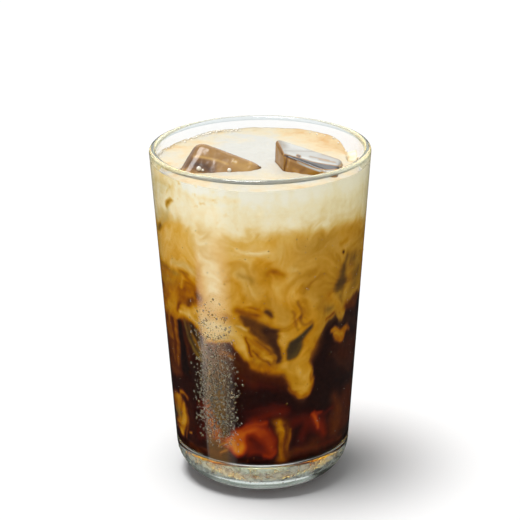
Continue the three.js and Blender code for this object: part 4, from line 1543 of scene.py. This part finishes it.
# How that light changes with one value of a direction: from, to, and the light at either. The
# panel's reflection is dim over the foam, bright over the milky coffee, and warmer and a little
# dimmer below that
LIGHT_BANDS = {
    "panel_left": ("bearing", math.radians(PANEL_LEFT[0]), math.radians(PANEL_LEFT[1]), 0.0, 1.0),
    "panel_right": ("bearing", math.radians(PANEL_RIGHT[0]), math.radians(PANEL_RIGHT[1]), 0.0, 1.0),
    "panel_high": ("Z", -0.43, -0.475, 0.25, 1.0),
    "panel_low": ("Z", -0.475, -0.515, 1.0, 0.55),
    "warmth": ("Z", -0.465, -0.5, 0.0, 1.0),
    "sky": ("Z", 0.0, 0.5, 0.01, SKY_LIGHT),
    "beside": ("X", -0.1, 0.3, 0.03, 0.45),
    "on_floor": ("Z", -0.06, -0.2, 0.0, 1.0),
    "overhead": ("Z", 0.45, 0.65, 0.0, 1.0),
    "off_back": ("off_back", math.radians(BACK_EDGE[0]), math.radians(BACK_EDGE[1]), 0.0, 1.0),
}
# The floor as the glass bends it to the eye, and the panel's colour where it is warm
BENT_FLOOR = 0.85
PANEL_WARMTH = "#ffc47c"
# The large soft key light: where it stands from the glass, how wide it looks, how strong it is
KEY_PLACE = Vector((-0.15, -0.03, 1))
KEY_SPREAD = math.radians(25)
KEY_LIGHT = 2.75


def soft_key(exposure):
    """A large round softbox, far away and almost overhead, that lights things but is not seen."""
    light = bpy.data.lights.new("key", "SUN")
    light.energy = KEY_LIGHT * exposure
    light.angle = KEY_SPREAD
    key = bpy.data.objects.new("key", light)
    key.location = KEY_PLACE
    key.rotation_euler = (-KEY_PLACE).to_track_quat("-Z", "Y").to_euler()
    key.visible_transmission = False
    bpy.context.scene.collection.objects.link(key)


def studio_world(strength):
    """White light all round. What the glass itself mirrors or bends to the eye is darker, with a
    bright sky and one tall lit panel at the left, so that the drink stays clear behind its wall."""
    world = bpy.data.worlds.new("studio")
    world.use_nodes = True
    tree = world.node_tree
    tree.nodes.clear()
    path = add_node(tree, "LightPath").outputs
    direction = add_node(tree, "TexCoord").outputs["Generated"]
    parts = dict(add_node(tree, "SeparateXYZ", {"Vector": direction}).outputs.items())
    front = add_node(tree, "Math", {0: parts["Y"], 1: -1.0}, operation="MULTIPLY")
    parts["bearing"] = add_node(tree, "Math", {0: parts["X"], 1: front}, operation="ARCTAN2")
    turn = add_node(tree, "Math", {0: parts["X"], 1: parts["Y"]}, operation="ARCTAN2")
    parts["off_back"] = add_node(tree, "Math", {0: turn}, operation="ABSOLUTE")
    bands = {
        name: add_node(tree, "MapRange", {
            "Value": parts[part], "From Min": start, "From Max": end, "To Min": low, "To Max": high,
        })
        for name, (part, start, end, low, high) in LIGHT_BANDS.items()
    }
    mirrored_ray, passed_ray = path["Is Reflection Ray"], path["Is Transmission Ray"]
    # Each value is worked out from those above it
    worked = {"mirrored_ray": mirrored_ray, "passed_ray": passed_ray, **bands}
    for name, operation, *inputs in (
        ("width", "MULTIPLY", "panel_left", "panel_right"),
        ("fade", "MULTIPLY", "panel_high", "panel_low"),
        ("panel", "MULTIPLY", "width", "fade"),
        ("mirrored", "MULTIPLY_ADD", "panel", PANEL_LIGHT, "sky"),
        ("lit_panel", "MULTIPLY", "width", "mirrored_ray"),
        ("warmed", "MULTIPLY", "lit_panel", "warmth"),
    ):
        inputs = {slot: worked.get(value, value) for slot, value in enumerate(inputs)}
        worked[name] = add_node(tree, "Math", inputs, operation=operation)
    worked["lights_things"] = add_node(
        tree, "Math", {0: path["Diffuse Depth"], 1: 0.5}, operation="GREATER_THAN"
    )
    for name, share, otherwise, wanted in (
        ("near_floor", "on_floor", "beside", BENT_FLOOR),
        ("around", "overhead", "near_floor", 1.0),
        ("bent", "off_back", 1.0, "around"),
        ("not_mirrored", "passed_ray", FLOOR_LIGHT, "bent"),
        ("seen", "mirrored_ray", "not_mirrored", "mirrored"),
        ("lighting", "passed_ray", FLOOR_LIGHT, DRINK_LIGHT),
        ("level", "lights_things", "seen", "lighting"),
    ):
        inputs = {0: worked[share], 2: worked.get(otherwise, otherwise), 3: worked.get(wanted, wanted)}
        worked[name] = add_node(tree, "Mix", inputs)
    colour = add_node(tree, "Mix", {
        0: worked["warmed"], 6: "#ffffff", 7: PANEL_WARMTH,
    }, data_type="RGBA")
    level = add_node(
        tree, "Math", {0: worked["level"], 1: strength}, operation="MULTIPLY"
    )
    background = add_node(tree, "Background", {
        "Color": colour.outputs[2], "Strength": level,
    })
    add_node(tree, "OutputWorld", {"Surface": background})
    bpy.context.scene.world = world


class ICED_COFFEE_OT_stage(bpy.types.Operator):
    """Lay the floor, set the studio light and place the camera"""

    bl_idname = "iced_coffee.stage"
    bl_label = "Stage"

    def execute(self, context):
        scene = context.scene
        exposure = scene.stage_settings.exposure
        paper = surfaced(new_material("white_studio_paper")[0], {
            "Base Color": "#f4f4f4", "Roughness": 0.9, "Specular IOR Level": 0.0,
        })
        shell = bmesh.new()
        bmesh.ops.create_grid(shell, x_segments=2, y_segments=2, size=FLOOR_SIZE / 2)
        floor = piece(shell, "studio_floor", paper)
        studio_world(exposure)
        soft_key(exposure)
        floor.visible_transmission = False
        floor.visible_glossy = False
        camera_data = bpy.data.cameras.new("photograph")
        camera_data.sensor_width = SENSOR
        camera_data.lens = LENS
        camera = bpy.data.objects.new("photograph", camera_data)
        aim = (CAMERA_AIM - CAMERA_PLACE).to_track_quat("-Z", "Y").to_matrix().to_4x4()
        aim = aim @ Matrix.Rotation(CAMERA_ROLL, 4, "Z")
        camera.matrix_world = Matrix.Translation(CAMERA_PLACE) @ aim
        scene.collection.objects.link(camera)
        scene.camera = camera
        scene.view_settings.view_transform = "Standard"
        scene.cycles.max_bounces = CLEAR_BOUNCES
        scene.cycles.glossy_bounces = CLEAR_BOUNCES
        scene.cycles.transmission_bounces = CLEAR_BOUNCES
        scene.cycles.diffuse_bounces = SOFT_BOUNCES
        return {"FINISHED"}


class ICED_COFFEE_PT_panel(bpy.types.Panel):
    """Lists the steps that build the drink"""

    bl_idname = "ICED_COFFEE_PT_panel"
    bl_label = "Iced coffee"
    bl_space_type = "VIEW_3D"
    bl_region_type = "UI"
    bl_category = "Iced coffee"

    def draw(self, context):
        scene = context.scene
        for settings, steps in PANEL_ROWS:
            group = getattr(scene, settings)
            for name in group.bl_rna.properties.keys():
                if name not in ("rna_type", "name"):
                    self.layout.prop(group, name)
            for step in steps:
                self.layout.operator(step.bl_idname)


SETTINGS = {
    "tumbler_settings": TumblerSettings,
    "drink_settings": DrinkSettings,
    "ice_settings": IceSettings,
    "droplet_settings": DropletSettings,
    "stage_settings": StageSettings,
}
PANEL_ROWS = (
    ("tumbler_settings", (ICED_COFFEE_OT_tumbler,)),
    ("drink_settings", (ICED_COFFEE_OT_liquids, ICED_COFFEE_OT_foam)),
    ("ice_settings", (ICED_COFFEE_OT_floating_ice,)),
    ("droplet_settings", (ICED_COFFEE_OT_droplets, ICED_COFFEE_OT_bubbles)),
    ("stage_settings", (ICED_COFFEE_OT_stage,)),
)
STEPS = tuple(step for _, steps in PANEL_ROWS for step in steps)


def register():
    for group in SETTINGS.values():
        bpy.utils.register_class(group)
    for step in STEPS:
        bpy.utils.register_class(step)
    bpy.utils.register_class(ICED_COFFEE_PT_panel)
    for name, group in SETTINGS.items():
        setattr(bpy.types.Scene, name, bpy.props.PointerProperty(type=group))


def unregister():
    for name in SETTINGS:
        delattr(bpy.types.Scene, name)
    bpy.utils.unregister_class(ICED_COFFEE_PT_panel)
    for step in reversed(STEPS):
        bpy.utils.unregister_class(step)
    for group in SETTINGS.values():
        bpy.utils.unregister_class(group)


def main():
    register()
    bpy.ops.iced_coffee.tumbler()
    bpy.ops.iced_coffee.liquids()
    bpy.ops.iced_coffee.foam()
    bpy.ops.iced_coffee.floating_ice()
    bpy.ops.iced_coffee.droplets()
    bpy.ops.iced_coffee.bubbles()
    bpy.ops.iced_coffee.stage()


if __name__ == "__main__":
    main()
